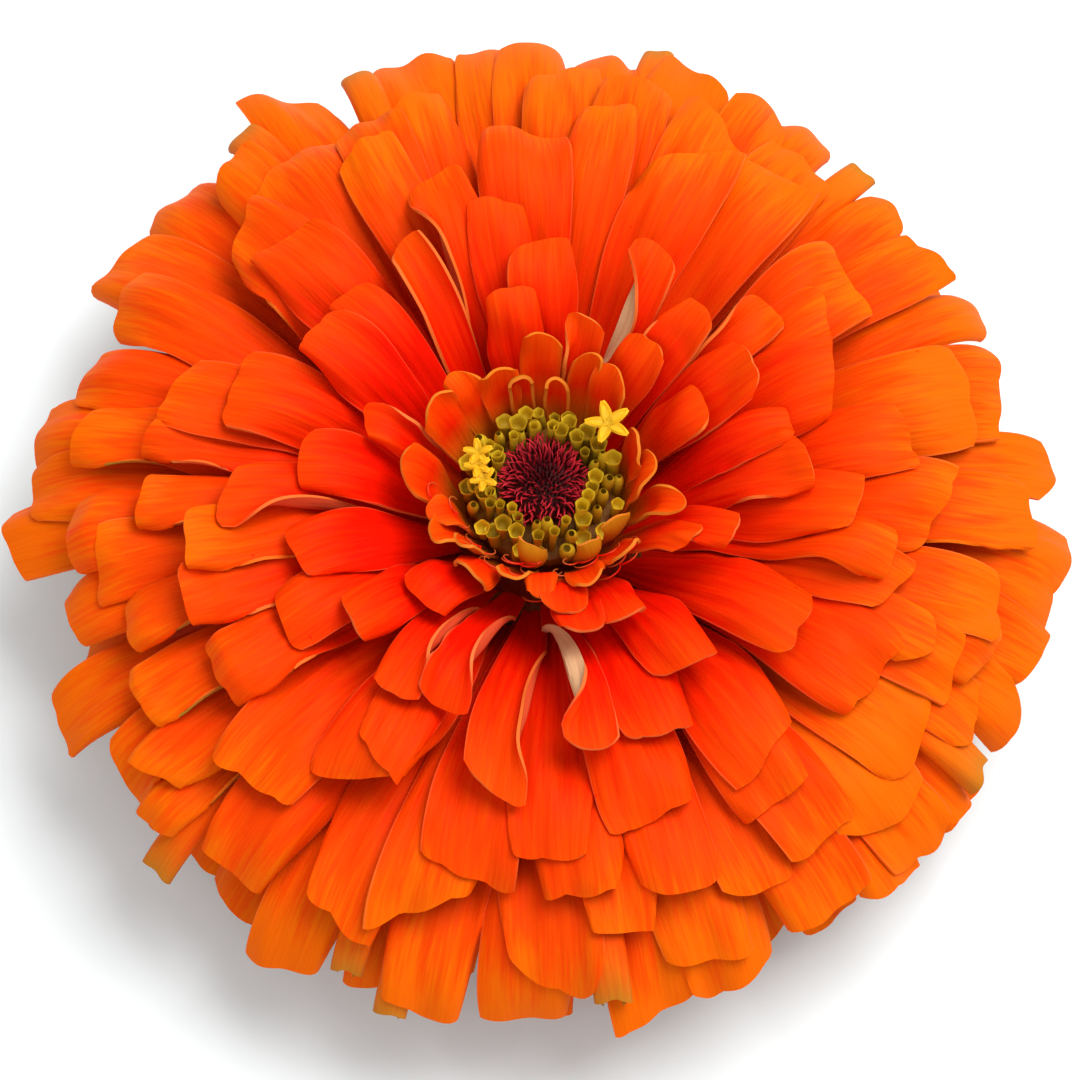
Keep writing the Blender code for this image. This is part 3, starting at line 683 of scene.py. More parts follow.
def settle(petals):
    """The surface of each petal, laid from the lowest up and draped over those under it."""
    layer = head_sizes().petal_thickness / MM + LAYER_GAP
    laid = np.full((2 * CELLS, 2 * CELLS), -1.0)
    settled = {}
    for petal in sorted(petals, key=lambda p: (min(p.height, FULL_DROOP), -p.reach)):
        grid = rested(petal, surface(petal))
        start = grid[..., 2].copy()
        free = np.clip((np.hypot(grid[..., 0], grid[..., 1]) - PACKED_RADIUS) / PACKED_FADE, 0, 1)
        for _ in range(LIFT_ROUNDS):
            need = np.clip((laid[cells_of(grid)] + layer - grid[..., 2]) * free, 0, None)
            if min(HABITS[petal.habit][1:3]) < 0:
                need = np.broadcast_to(need.max(axis=1, keepdims=True), need.shape)
            grid[..., 2] += spread_out(need)
        grid[..., 2] = start + MOST_LIFT * np.tanh((grid[..., 2] - start) / MOST_LIFT)
        fine = finer(grid)
        np.maximum.at(laid, cells_of(fine), fine[..., 2])
        settled[petal] = grid
    return settled


# Materials


def add_node(tree, kind, **settings):
    made = tree.nodes.new(kind)
    for name, value in settings.items():
        setattr(made, name, value)
    return made


def feed(tree, node, **inputs):
    """Sets a node's inputs by name, from a value or from another node's output."""
    for name, source in inputs.items():
        socket = node.inputs[name.replace("_", " ")]
        if isinstance(source, bpy.types.NodeSocket):
            tree.links.new(source, socket)
        else:
            socket.default_value = source
    return node


def maths(tree, operation, first, second=0.5, clamp=False):
    node = add_node(tree, "ShaderNodeMath", operation=operation, use_clamp=clamp)
    for socket, source in zip(node.inputs, (first, second)):
        if isinstance(source, bpy.types.NodeSocket):
            tree.links.new(source, socket)
        else:
            socket.default_value = source
    return node.outputs[0]


def mixed(tree, factor, first, second, blend="MIX"):
    node = add_node(tree, "ShaderNodeMix", data_type="RGBA", blend_type=blend)
    for socket, source in ((node.inputs[0], factor), (node.inputs[6], first), (node.inputs[7], second)):
        if isinstance(source, bpy.types.NodeSocket):
            tree.links.new(source, socket)
        elif socket.type == "RGBA":
            socket.default_value = (*source, 1)
        else:
            socket.default_value = source
    return node.outputs[2]


def ramp(tree, factor, stops):
    node = add_node(tree, "ShaderNodeValToRGB")
    tree.links.new(factor, node.inputs[0])
    elements = node.color_ramp.elements
    while len(elements) < len(stops):
        elements.new(0.5)
    for element, (place, value) in zip(elements, stops):
        element.position = place
        element.color = (*value, 1)
    return node.outputs[0]


def attribute(tree, name):
    """The three numbers of a mesh attribute."""
    source = add_node(tree, "ShaderNodeAttribute", attribute_name=name)
    parts = add_node(tree, "ShaderNodeSeparateXYZ")
    tree.links.new(source.outputs["Vector"], parts.inputs[0])
    return parts.outputs[0], parts.outputs[1], parts.outputs[2]


def blade_place(tree):
    """How far a point lies across and along its blade, from 0 to 1, by the Blade UV map."""
    source = add_node(tree, "ShaderNodeUVMap", uv_map="Blade")
    parts = add_node(tree, "ShaderNodeSeparateXYZ")
    tree.links.new(source.outputs[0], parts.inputs[0])
    return parts.outputs[0], parts.outputs[1]


def new_group(name, inputs, outputs):
    group = bpy.data.node_groups.new(name, "ShaderNodeTree")
    for label, kind, default in inputs:
        socket = group.interface.new_socket(label, in_out="INPUT", socket_type=kind)
        socket.default_value = default
    for label, kind in outputs:
        group.interface.new_socket(label, in_out="OUTPUT", socket_type=kind)
    return group, add_node(group, "NodeGroupInput"), add_node(group, "NodeGroupOutput")


def vein_group():
    """Long streaks and fine veins that run along each blade, from its own millimetres."""
    group, inside, outside = new_group(
        "Petal veins",
        [("Fineness", "NodeSocketFloat", 1.0)],
        [("Streaks", "NodeSocketFloat"), ("Veins", "NodeSocketFloat")],
    )
    source = add_node(group, "ShaderNodeAttribute", attribute_name="grain")
    for label, scale, detail in (("Streaks", (0.6, 0.06, 9), 3), ("Veins", (2.8, 0.12, 9), 4)):
        stretch = feed(group, add_node(group, "ShaderNodeMapping"), Vector=source.outputs["Vector"], Scale=scale)
        noise = feed(
            group, add_node(group, "ShaderNodeTexNoise"), Vector=stretch.outputs[0], Detail=detail, Roughness=0.6
        )
        group.links.new(inside.outputs["Fineness"], noise.inputs["Scale"])
        group.links.new(noise.outputs[0], outside.inputs[label])
    return group


def velvet_group():
    """The fine grain of petal cells, as a height."""
    group, inside, outside = new_group(
        "Cell grain", [("Scale", "NodeSocketFloat", 9000.0)], [("Height", "NodeSocketFloat")]
    )
    place = add_node(group, "ShaderNodeTexCoord")
    noise = feed(group, add_node(group, "ShaderNodeTexNoise"), Vector=place.outputs["Object"], Detail=2)
    group.links.new(inside.outputs["Scale"], noise.inputs["Scale"])
    group.links.new(noise.outputs[0], outside.inputs["Height"])
    return group


def speck_group():
    """Small dark specks, few and far between."""
    group, inside, outside = new_group(
        "Specks", [("Amount", "NodeSocketFloat", 0.5)], [("Mask", "NodeSocketFloat")]
    )
    source = add_node(group, "ShaderNodeAttribute", attribute_name="grain")
    cells = feed(group, add_node(group, "ShaderNodeTexVoronoi"), Vector=source.outputs["Vector"], Scale=0.42)
    near = maths(group, "LESS_THAN", cells.outputs["Distance"], 0.09)
    parts = add_node(group, "ShaderNodeSeparateColor")
    group.links.new(cells.outputs["Color"], parts.inputs[0])
    some = maths(group, "LESS_THAN", parts.outputs[0], inside.outputs["Amount"])
    group.links.new(maths(group, "MULTIPLY", near, some), outside.inputs["Mask"])
    return group


def placed_group(tree, name, builder, **inputs):
    """A node that uses a shared group, which is built the first time."""
    group = bpy.data.node_groups.get(name) or builder()
    return feed(tree, add_node(tree, "ShaderNodeGroup", node_tree=group), **inputs)


def bump(tree, height, distance, strength=1.0, normal=None):
    node = feed(tree, add_node(tree, "ShaderNodeBump"), Height=height, Distance=distance, Strength=strength)
    if normal:
        tree.links.new(normal, node.inputs["Normal"])
    return node.outputs[0]


def new_material(name):
    made = bpy.data.materials.get(name)
    if made:
        return made, None, None
    made = bpy.data.materials.new(name)
    made.use_nodes = True
    tree = made.node_tree
    return made, tree, tree.nodes["Principled BSDF"]


def soft_tissue(shader, base, gloss=0.03):
    """The even part of a petal's finish: almost no gloss, and a velvety sheen of its own colour."""
    shader.inputs["Sheen Weight"].default_value = 0.02
    shader.inputs["Sheen Roughness"].default_value = 0.35
    shader.inputs["Sheen Tint"].default_value = (*base, 1)
    shader.inputs["Specular IOR Level"].default_value = gloss


def grained(tree, vein_height, vein_depth):
    grain = placed_group(tree, "Cell grain", velvet_group)
    fine = bump(tree, grain.outputs["Height"], 0.00002, 0.5)
    return bump(tree, vein_height, vein_depth, 0.6, fine)


def petal_upper():
    made, tree, shader = new_material("petal_upper")
    if not tree:
        return made
    tone = colours()
    warmth, youth, _ = attribute(tree, "tone")
    across, along = blade_place(tree)
    veins = placed_group(tree, "Petal veins", vein_group)
    # Painted shade and light along each blade: darker red towards the base, where the petals shade each other, and
    # more orange towards the lit tip.
    far = maths(tree, "SUBTRACT", maths(tree, "MULTIPLY", along, along), 0.78)
    warmth_and_painted_shade = maths(tree, "ADD", warmth, maths(tree, "MULTIPLY", far, 0.8))
    streak = maths(tree, "MULTIPLY", maths(tree, "SUBTRACT", veins.outputs["Streaks"], 0.5), 0.6)
    vein = maths(tree, "MULTIPLY", maths(tree, "SUBTRACT", veins.outputs["Veins"], 0.5), 0.5)
    warmth_and_painted_shade = maths(tree, "ADD", maths(tree, "ADD", warmth_and_painted_shade, streak), vein, clamp=True)
    base = ramp(
        tree,
        warmth_and_painted_shade,
        (
            (0.0, tone.petal_deep),
            (0.28, tone.petal_red),
            (0.75, tone.petal_orange),
            (1.0, tone.petal_gold),
        ),
    )
    side = maths(tree, "MULTIPLY", maths(tree, "ABSOLUTE", maths(tree, "SUBTRACT", across, 0.5)), 2.0)
    foot = maths(tree, "SUBTRACT", 0.95, maths(tree, "MULTIPLY", along, 1.5), clamp=True)
    foot = maths(tree, "ADD", foot, maths(tree, "MULTIPLY", maths(tree, "POWER", side, 3.5), 0.22))
    foot = maths(tree, "MULTIPLY", foot, youth, clamp=True)
    base = mixed(tree, foot, base, tone.young_gold)
    end = maths(tree, "POWER", along, 14.0)
    olive = maths(tree, "MULTIPLY", maths(tree, "MULTIPLY", youth, -1.0, clamp=True), end)
    base = mixed(tree, olive, base, tone.under_olive)
    # Pale line along the upper side's margins: partly the paler underside showing there, partly a painted highlight
    # of the lit edge.
    edge = maths(tree, "MULTIPLY", maths(tree, "GREATER_THAN", side, 0.97), 0.25)
    base = mixed(tree, edge, base, tone.edge_line_and_highlight)
    dark = maths(tree, "MULTIPLY", maths(tree, "SUBTRACT", 0.72, veins.outputs["Veins"]), 1.2, clamp=True)
    base = mixed(tree, dark, base, (0.88, 0.70, 0.7), "MULTIPLY")
    specks = placed_group(tree, "Specks", speck_group, Amount=0.14)
    base = mixed(tree, maths(tree, "MULTIPLY", specks.outputs[0], 0.55), base, tone.petal_deep)
    rough = maths(tree, "ADD", maths(tree, "MULTIPLY", veins.outputs["Veins"], 0.2), 0.42)
    feed(tree, shader, Base_Color=base, Roughness=rough, Normal=grained(tree, veins.outputs["Veins"], 0.0002))
    soft_tissue(shader, tone.petal_orange)
    return made


def petal_under():
    made, tree, shader = new_material("petal_under")
    if not tree:
        return made
    tone = colours()
    warmth, youth, chance = attribute(tree, "tone")
    _, along = blade_place(tree)
    veins = placed_group(tree, "Petal veins", vein_group)
    pale = ramp(tree, chance, ((0.62, tone.under_salmon), (1.0, tone.under_cream)))
    green = maths(tree, "MULTIPLY", warmth, along)
    green = maths(tree, "ADD", green, maths(tree, "MULTIPLY", veins.outputs["Streaks"], 0.5))
    green = maths(tree, "MULTIPLY", maths(tree, "SUBTRACT", green, 0.58), 2.4, clamp=True)
    base = mixed(tree, green, pale, tone.under_olive)
    base = mixed(tree, youth, base, tone.young_gold)
    dark = maths(tree, "MULTIPLY", veins.outputs["Veins"], 0.6)
    base = mixed(tree, dark, base, (0.7, 0.45, 0.3), "MULTIPLY")
    feed(tree, shader, Base_Color=base, Roughness=0.6, Normal=grained(tree, veins.outputs["Veins"], 0.0002))
    soft_tissue(shader, tone.under_cream)
    return made


def petal_rim():
    made, tree, shader = new_material("petal_rim")
    if not tree:
        return made
    tone = colours()
    warmth, youth, _ = attribute(tree, "tone")
    # The rim's pale colour is partly the paler underside showing at the margin and partly a painted highlight of the
    # lit edge.
    base = mixed(tree, warmth, tone.edge_line_and_highlight, tone.petal_gold)
    base = mixed(tree, maths(tree, "MULTIPLY", youth, 0.45, clamp=True), base, tone.young_gold)
    feed(tree, shader, Base_Color=base, Roughness=0.5)
    soft_tissue(shader, tone.edge_line_and_highlight)
    return made


def two_tone(name, low, high, roughness=0.55, mottle=1800.0, relief=0.00005):
    """A finish that runs from one colour to another along a piece, with a soft mottle and grain."""
    made, tree, shader = new_material(name)
    if not tree:
        return made
    along, _, chance = attribute(tree, "tone")
    place = add_node(tree, "ShaderNodeTexCoord")
    noise = feed(
        tree, add_node(tree, "ShaderNodeTexNoise"), Vector=place.outputs["Object"], Scale=mottle, Detail=3
    )
    shift = maths(tree, "MULTIPLY", maths(tree, "SUBTRACT", noise.outputs[0], 0.5), 0.7)
    shift = maths(tree, "ADD", shift, maths(tree, "MULTIPLY", maths(tree, "SUBTRACT", chance, 0.5), 0.4))
    base = ramp(tree, maths(tree, "ADD", along, shift, clamp=True), ((0.1, low), (0.9, high)))
    normal = bump(tree, noise.outputs[0], relief, 0.6)
    feed(tree, shader, Base_Color=base, Roughness=roughness, Normal=normal)
    soft_tissue(shader, high, 0.2)
    return made


# Pieces


class ZINNIA_OT_ray_petals(Operator):
    """Lays every petal over those below it and joins them tier by tier"""

    bl_idname = "zinnia.ray_petals"
    bl_label = "Ray petals"

    def execute(self, context):
        tiers = [(name, [read_petal(*row) for row in tier], share) for name, tier, share in PETAL_PIECES]
        hidden = hidden_petals()
        tiers.append(("hidden_petals", hidden, len(HIDDEN_WHORLS) - 1))
        settled = settle([petal for _, tier, _ in tiers for petal in tier])
        blank = grid_blank(COLUMNS, ROWS)
        for name, tier, share in tiers:
            for part in range(share):
                label = name if share == 1 else f"{name}_{part + 1}"
                self.join_petals(blank, label, [(p, settled[p]) for p in tier[part::share]])
        drop(blank)
        return {"FINISHED"}

    def join_petals(self, blank, label, petals):
        blades = []
        for petal, grid in petals:
            blade, row, column = laid_on(blank, "petal", grid)
            across = (column / (COLUMNS - 1) - 0.5) * petal.width
            along = row / (ROWS - 1) * petal.reach
            grain = np.stack([across, along, np.full(len(row), petal.chance)], axis=-1)
            youth = -0.7 if petal.habit == "tube" else min(max((18 - petal.reach) / 6, 0), 1)
            set_values(blade, "grain", grain)
            set_values(blade, "tone", (petal.warmth + 0.45 * max(youth, 0), youth, petal.chance))
            blades.append(blade)
        piece = joined(blades, label)
        dress(piece, petal_upper(), petal_under(), petal_rim())
        thicken(piece, head_sizes().petal_thickness, 1, 2)
        smooth(piece)
        finish_piece(piece, "ray_orange", "ray_florets")


class ZINNIA_OT_receptacle(Operator):
    """Turns the fleshy core that the petals grow from"""

    bl_idname = "zinnia.receptacle"
    bl_label = "Receptacle"

    profile = ((0.0, 7.6), (9.0, 7.6), (11.0, 8.4), (11.4, 10.6), (10.2, 13.0), (8.6, 15.6), (7.0, 17.6), (0.0, 17.8))

    def execute(self, context):
        piece = turned("receptacle", self.profile, 96)
        points = points_of(piece) / MM
        turn = np.arctan2(points[:, 1], points[:, 0])
        ridge = 1 + 0.02 * np.cos(48 * turn)
        points[:, :2] *= ridge[:, None]
        place_points(piece, points)
        set_values(piece, "tone", np.stack([np.clip((points[:, 2] - 8) / 8, 0, 1), 0 * turn, 0.5 + 0 * turn], -1))
        smooth(piece)
        dress(piece, two_tone("claw_flesh", colours().bract_green, colours().petal_shade))
        finish_piece(piece, "ray_orange", "ray_florets")
        return {"FINISHED"}


def turned(name, profile, sides):
    """A closed solid of revolution, from a cylinder cut into rings that take the profile's sizes."""
    rings = len(profile) - 2
    blank = stalk_blank(sides, rings - 1)
    points = points_of(blank)
    ring = np.rint(points[:, 2] * (rings - 1)).astype(int)
    radius = np.array([r for r, _ in profile[1:-1]])[ring]
    height = np.array([z for _, z in profile[1:-1]])[ring]
    points[:, :2] *= radius[:, None]
    points[:, 2] = height
    blank.name = name
    blank.data.name = name
    place_points(blank, points)
    return blank


class ZINNIA_OT_tube_florets(Operator):
    """Sets the rolled green and yellow tubes round the disc, some of them still shut"""

    bl_idname = "zinnia.tube_florets"
    bl_label = "Tube florets"

    rings = (
        dict(count=22, reach=4.6, top=24.9, radius=0.56),
        dict(count=22, reach=5.65, top=24.3, radius=0.64),
        dict(count=20, reach=6.75, top=23.0, radius=0.68),
    )
    open_radii = (0.55, 0.72, 0.8, 0.82, 0.84, 0.95, 1.22)
    shut_radii = (0.55, 0.72, 0.82, 0.92, 1.0, 0.92, 0.45)

    def execute(self, context):
        draw = random.Random(SEED)
        open_blank = self.lobed(stalk_blank(20, 6, 0.2))
        shut_blank = stalk_blank(15, 6, 0.1)
        tubes = []
        for ring in self.rings:
            for i in range(ring["count"]):
                turn = math.radians(360 * (i + draw.uniform(-0.3, 0.3)) / ring["count"])
                shut = draw.random() < 0.25
                blank, radii = (shut_blank, self.shut_radii) if shut else (open_blank, self.open_radii)
                size = ring["radius"] * draw.uniform(0.68, 1.22)
                top = ring["top"] + draw.uniform(-0.8, 0.5)
                steps = np.linspace(0, 1, 7)
                radius = ring["reach"] + draw.uniform(-0.2, 0.2) + draw.uniform(-0.1, 0.5) * steps**2
                turns = turn + draw.uniform(-0.07, 0.07) * steps**2
                height = PLATE_TOP - 0.6 + (top - PLATE_TOP + 0.6) * steps
                line = np.stack([radius * np.cos(turns), radius * np.sin(turns), height], axis=-1)
                tube, along = swept(blank, "tube", line, [r * size for r in radii])
                green = np.clip(along**1.5 * draw.uniform(0.45, 1.05), 0, 1)
                set_values(tube, "tone", np.stack([green, 0 * along, draw.random() + 0 * along], axis=-1))
                tubes.append(tube)
        drop(open_blank)
        drop(shut_blank)
        piece = joined(tubes, "tube_florets")
        apply_modifier(piece, "SUBSURF", levels=1, render_levels=1)
        smooth(piece, 80)
        tone = colours()
        dress(piece, two_tone("floret_tissue", tone.floret_green, tone.floret_lip))
        finish_piece(piece, "floret_yellow", "young_florets")
        return {"FINISHED"}

    def lobed(self, blank):
        """Gives the mouth of an open tube its five small lobes."""
        points = points_of(blank)
        turn = np.arctan2(points[:, 1], points[:, 0])
        points[:, :2] *= (1 + 0.10 * np.cos(5 * turn) * (points[:, 2] > 0.95))[:, None]
        place_points(blank, points / MM)
        return blank


class ZINNIA_OT_star_florets(Operator):
    """Opens the yellow florets, each with five pointed lobes on its tube"""

    bl_idname = "zinnia.star_florets"
    bl_label = "Star florets"

    stars = (
        dict(azimuth=35, reach=7.3, height=26.4, size=2.15, rise=0.30),
        dict(azimuth=164, reach=6.2, height=25.2, size=1.35, rise=0.9),
        dict(azimuth=176, reach=6.0, height=25.0, size=1.25, rise=1.3),
        dict(azimuth=188, reach=5.5, height=24.9, size=1.3, rise=0.8),
    )

    def execute(self, context):
        draw = random.Random(SEED)
        lobe = grid_blank(7, 9)
        stalk = stalk_blank(10, 5)
        blades = []
        tubes = []
        for star in self.stars:
            turn = math.radians(star["azimuth"])
            middle = np.array([star["reach"] * math.cos(turn), star["reach"] * math.sin(turn), star["height"]])
            foot = np.array([5.2 * math.cos(turn), 5.2 * math.sin(turn), PLATE_TOP - 0.4])
            line = foot + (middle - foot) * np.linspace(0, 1, 6)[:, None]
            tube, along = swept(stalk, "star_tube", line, (0.3, 0.34, 0.38, 0.5))
            set_values(tube, "tone", np.stack([along, 0 * along, 0 * along + 0.5], axis=-1))
            tubes.append(tube)
            start = draw.uniform(0, 72)
            for k in range(5):
                way = math.radians(start + 72 * k + draw.uniform(-8, 8))
                grid = self.lobe(middle, star["size"], way, star["rise"] * draw.uniform(0.6, 1.2))
                blade, row, _ = laid_on(lobe, "lobe", grid)
                set_values(blade, "tone", np.stack([0.4 + 0.6 * row / 8, 0 * row, 0.5 + 0 * row], axis=-1))
                blades.append(blade)
        drop(lobe)
        drop(stalk)
        lobes = joined(blades, "star_lobes")
        thicken(lobes, 0.25 * MM)
        piece = joined([lobes, *tubes], "star_florets")
        smooth(piece, 60)
        tone = colours()
        dress(piece, two_tone("star_tissue", tone.floret_green, tone.floret_gold))
        finish_piece(piece, "floret_yellow", "young_florets")
        return {"FINISHED"}

    def lobe(self, middle, size, turn, lift):
        """One pointed lobe, from the star's throat out."""
        rows = np.linspace(0, 1, 9)[:, None]
        u = np.linspace(-1, 1, 7)[None, :]
        half = size * 0.23 * np.sin(np.pi * (0.25 + 0.73 * rows)) ** 0.8
        out = size * rows + 0 * u
        rise = lift * size * (rows - 0.6 * rows**2) + 0.10 * size * u**2
        side = half * u
        x = middle[0] + out * math.cos(turn) - side * math.sin(turn)
        y = middle[1] + out * math.sin(turn) + side * math.cos(turn)
        return np.stack([x, y, middle[2] + rise], axis=-1)


class ZINNIA_OT_disc(Operator):
    """Raises the crimson dome and its curved bristles"""

    bl_idname = "zinnia.disc"
    bl_label = "Disc"

    count = 300

    def execute(self, context):
        draw = random.Random(SEED)
        radius = (DISC_HIGH.x - DISC_LOW.x) / 2 - 0.35
        foot, crest = DISC_LOW.z, DISC_HIGH.z - 1.9
        profile = ((0, foot), (radius * 0.85, foot), (radius, foot + 0.9), (radius * 0.97, foot + 1.7))
        profile += ((radius * 0.8, crest - 0.6), (radius * 0.5, crest - 0.1), (radius * 0.2, crest), (0, crest))
        dome = turned("disc_dome", profile, 48)
        set_values(dome, "tone", (0.0, 0.0, 0.5))
        blank = stalk_blank(5, 5)
        bristles = []
        for i in range(self.count):
            share = (i + 0.5) / self.count
            turn = i * math.radians(GOLDEN_ANGLE)
            ring = radius * 0.98 * math.sqrt(share)
            base = crest - 0.35 - 1.5 * share**2.2
            lean = math.radians(-20 + 125 * math.sqrt(share) + draw.uniform(-18, 18))
            reach = 1.75 + draw.uniform(-0.35, 0.45)
            steps = np.linspace(0, 1, 6)
            bend = lean * steps
            out = ring + reach * np.cumsum(np.sin(bend)) / 6
            up = base + reach * np.cumsum(np.cos(bend)) / 6
            swing = turn + math.radians(draw.uniform(-14, 14)) * steps**2
            line = np.stack([out * np.cos(swing), out * np.sin(swing), up], axis=-1)
            bristle, along = swept(blank, "bristle", line, (0.13, 0.12, 0.10, 0.09, 0.07, 0.02))
            tip = np.clip(along**1.3 * (0.15 + 1.05 * math.sqrt(share)), 0, 1)
            set_values(bristle, "tone", np.stack([tip, 0 * along, draw.random() + 0 * along], axis=-1))
            bristles.append(bristle)
        drop(blank)
        piece = joined([dome, *bristles], "disc_bristles")
        smooth(piece, 60)
        tone = colours()
        dress(piece, two_tone("disc_tissue", tone.disc_dark, tone.disc_crimson, 0.6))
        finish_piece(piece, "disc_crimson", "disc")
        return {"FINISHED"}


class ZINNIA_OT_floret_plate(Operator):
    """Fills the floor of the heart, where the young florets stand"""

    bl_idname = "zinnia.floret_plate"
    bl_label = "Floret plate"

    def execute(self, context):
        low, top = PLATE_TOP - 0.8, PLATE_TOP
        profile = ((0, low - 2), (6.4, low - 2), (6.9, low), (6.7, top - 0.1), (4.3, top + 0.3), (0, top))
        piece = turned("floret_plate", profile, 64)
        set_values(piece, "tone", (0.4, 0.0, 0.4))
        smooth(piece)
        dress(piece, two_tone("plate_tissue", colours().petal_shade, colours().floret_green))
        finish_piece(piece, "floret_yellow", "young_florets")
        return {"FINISHED"}


class ZINNIA_OT_styles(Operator):
    """Curls the thin forked threads in the dark gaps round the heart"""

    bl_idname = "zinnia.styles"
    bl_label = "Styles"

    places = (196, 206, 228, 243, 249, 256, 262, 268, 275, 284, 292, 300, 309, 318)

    def execute(self, context):
        draw = random.Random(SEED)
        blank = stalk_blank(5, 12)
        threads = []
        for azimuth in self.places:
            turn = math.radians(azimuth + draw.uniform(-3, 3))
            reach = draw.uniform(8.2, 11.2)
            height = draw.uniform(22.0, 24.2)
            for side in (-1, 1):
                steps = np.linspace(0, 1, 13)
                bend = side * math.radians(draw.uniform(150, 250)) * steps
                size = draw.uniform(0.22, 0.32)
                across = np.cumsum(np.sin(bend)) * size
                out = reach + np.cumsum(np.cos(bend)) * size * 0.7
                up = height + 0.9 * np.sin(np.pi * steps) + draw.uniform(-0.3, 0.3) * steps
                x = out * math.cos(turn) - across * math.sin(turn)
                y = out * math.sin(turn) + across * math.cos(turn)
                thread, along = swept(blank, "thread", np.stack([x, y, up], -1), (0.09, 0.08, 0.07, 0.05))
                set_values(thread, "tone", np.stack([along, 0 * along, draw.random() + 0 * along], axis=-1))
                threads.append(thread)
        drop(blank)
        piece = joined(threads, "styles")
        smooth(piece, 60)
        dress(piece, two_tone("style_tissue", colours().petal_deep, colours().style_brown))
        finish_piece(piece, "floret_yellow", "young_florets")
        return {"FINISHED"}


class ZINNIA_OT_involucre(Operator):
    """Overlaps the green bracts of the cup"""

    bl_idname = "zinnia.involucre"
    bl_label = "Involucre"

    rows = (
        dict(count=9, root=(4.4, 3.3), tip=(8.6, 4.0), bulge=-0.5, width=5.6),
        dict(count=11, root=(6.2, 4.2), tip=(10.2, 5.2), bulge=-0.5, width=5.6),
        dict(count=13, root=(7.8, 5.0), tip=(11.6, 6.6), bulge=-0.5, width=5.4),
        dict(count=15, root=(9.3, 6.0), tip=(12.6, 7.9), bulge=-0.35, width=5.0),
    )

    def execute(self, context):
        low, high = CUP_LOW.z, CUP_HIGH.z - 1.6
        profile = ((0, low), (3.3, low), (6.2, low + 1.2), (9.0, low + 3.0), (9.6, high), (0, high))
        cup = turned("cup", profile, 64)
        set_values(cup, "tone", (0.4, 0.0, 0.5))
        cup.data.uv_layers[0].name = "Blade"
        cup.data.uv_layers[0].data.foreach_set("uv", [0.5] * (2 * len(cup.data.loops)))
        blank = grid_blank(11, 13)
        scales = []
        draw = random.Random(SEED)
        for k, row in enumerate(self.rows):
            for i in range(row["count"]):
                azimuth = 360 * (i + 0.5 * (k % 2) + draw.uniform(-0.08, 0.08)) / row["count"]
                scale, _, _ = laid_on(blank, "bract", self.bract(row, azimuth))
                set_values(scale, "tone", (draw.random(), 0.0, draw.random()))
                scales.append(scale)
        drop(blank)
        bracts = joined(scales, "bracts")
        thicken(bracts, 0.4 * MM)
        piece = joined([bracts, cup], "involucre_bracts")
        smooth(piece)
        dress(piece, bract_leaf())
        finish_piece(piece, "bract_green", "involucre")
        return {"FINISHED"}

    def bract(self, row, azimuth):
        """One round-tipped scale of the cup, from its root out and up to its free tip."""
        rows = np.linspace(0, 1, 13)
        u = np.linspace(-1, 1, 11)
        t = rows[:, None] * (1 - 0.22 * np.abs(u) ** 2.4)
        (r0, z0), (r1, z1) = row["root"], row["tip"]
        radius = r0 + (r1 - r0) * t - row["bulge"] * np.sin(np.pi * t) * 0.6
        height = z0 + (z1 - z0) * t + row["bulge"] * np.sin(np.pi * t) + 0.25 * u**2
        half = row["width"] / 2 * (0.75 + 0.25 * np.sin(np.pi * rows) - 0.45 * rows**3)[:, None]
        turn = math.radians(azimuth) + half * u / np.maximum(radius, 1)
        return np.stack([radius * np.cos(turn), radius * np.sin(turn), height], axis=-1)


def bract_leaf():
    made, tree, shader = new_material("bract_leaf")
    if not tree:
        return made
    tone = colours()
    shade, _, chance = attribute(tree, "tone")
    across, along = blade_place(tree)
    side = maths(tree, "MULTIPLY", maths(tree, "ABSOLUTE", maths(tree, "SUBTRACT", across, 0.5)), 2.0)
    edge = maths(tree, "MAXIMUM", maths(tree, "POWER", side, 10.0), maths(tree, "POWER", along, 16.0))
    place = add_node(tree, "ShaderNodeTexCoord")
    noise = feed(
        tree, add_node(tree, "ShaderNodeTexNoise"), Vector=place.outputs["Object"], Scale=1400.0, Detail=4
    )
    light = maths(tree, "ADD", maths(tree, "MULTIPLY", shade, 0.3), noise.outputs[0])
    base = mixed(tree, maths(tree, "MULTIPLY", light, 0.5), tone.bract_green, tone.stem_green)
    base = mixed(tree, maths(tree, "MULTIPLY", edge, 0.85), base, tone.bract_edge)
    feed(tree, shader, Base_Color=base, Roughness=0.55, Normal=bump(tree, noise.outputs[0], 0.00006, 0.7))
    return made


class ZINNIA_OT_stem(Operator):
    """Cuts the short ribbed stem, with pale pith at its end"""

    bl_idname = "zinnia.stem"
    bl_label = "Stem"

    ribs = 9

    def execute(self, context):
        radius = (STEM_HIGH.x - STEM_LOW.x) / 2
        top = CUP_LOW.z + 0.6
        profile = ((0, 0), (0.3, 0), (radius * 0.86, 0), (radius * 0.93, 0.12), (radius * 0.9, 0.8))
        profile += ((radius * 0.92, 1.6), (radius * 1.02, top), (0, top))
        piece = turned("stem_stub", profile, 72)
        points = points_of(piece) / MM
        turn = np.arctan2(points[:, 1], points[:, 0])
        wide = np.hypot(points[:, 0], points[:, 1])
        points[:, :2] *= (1 + 0.03 * np.cos(self.ribs * turn) * (wide > 1))[:, None]
        place_points(piece, points)
        pith = np.clip((radius * 0.8 - wide) / 0.3, 0, 1)
        set_values(piece, "tone", np.stack([pith, 0 * pith, 0.5 + 0 * pith], axis=-1))
        smooth(piece)
        dress(piece, two_tone("stem_skin", colours().stem_green, colours().stem_pith, 0.6))
        finish_piece(piece, "stem_green", "stem")
        return {"FINISHED"}


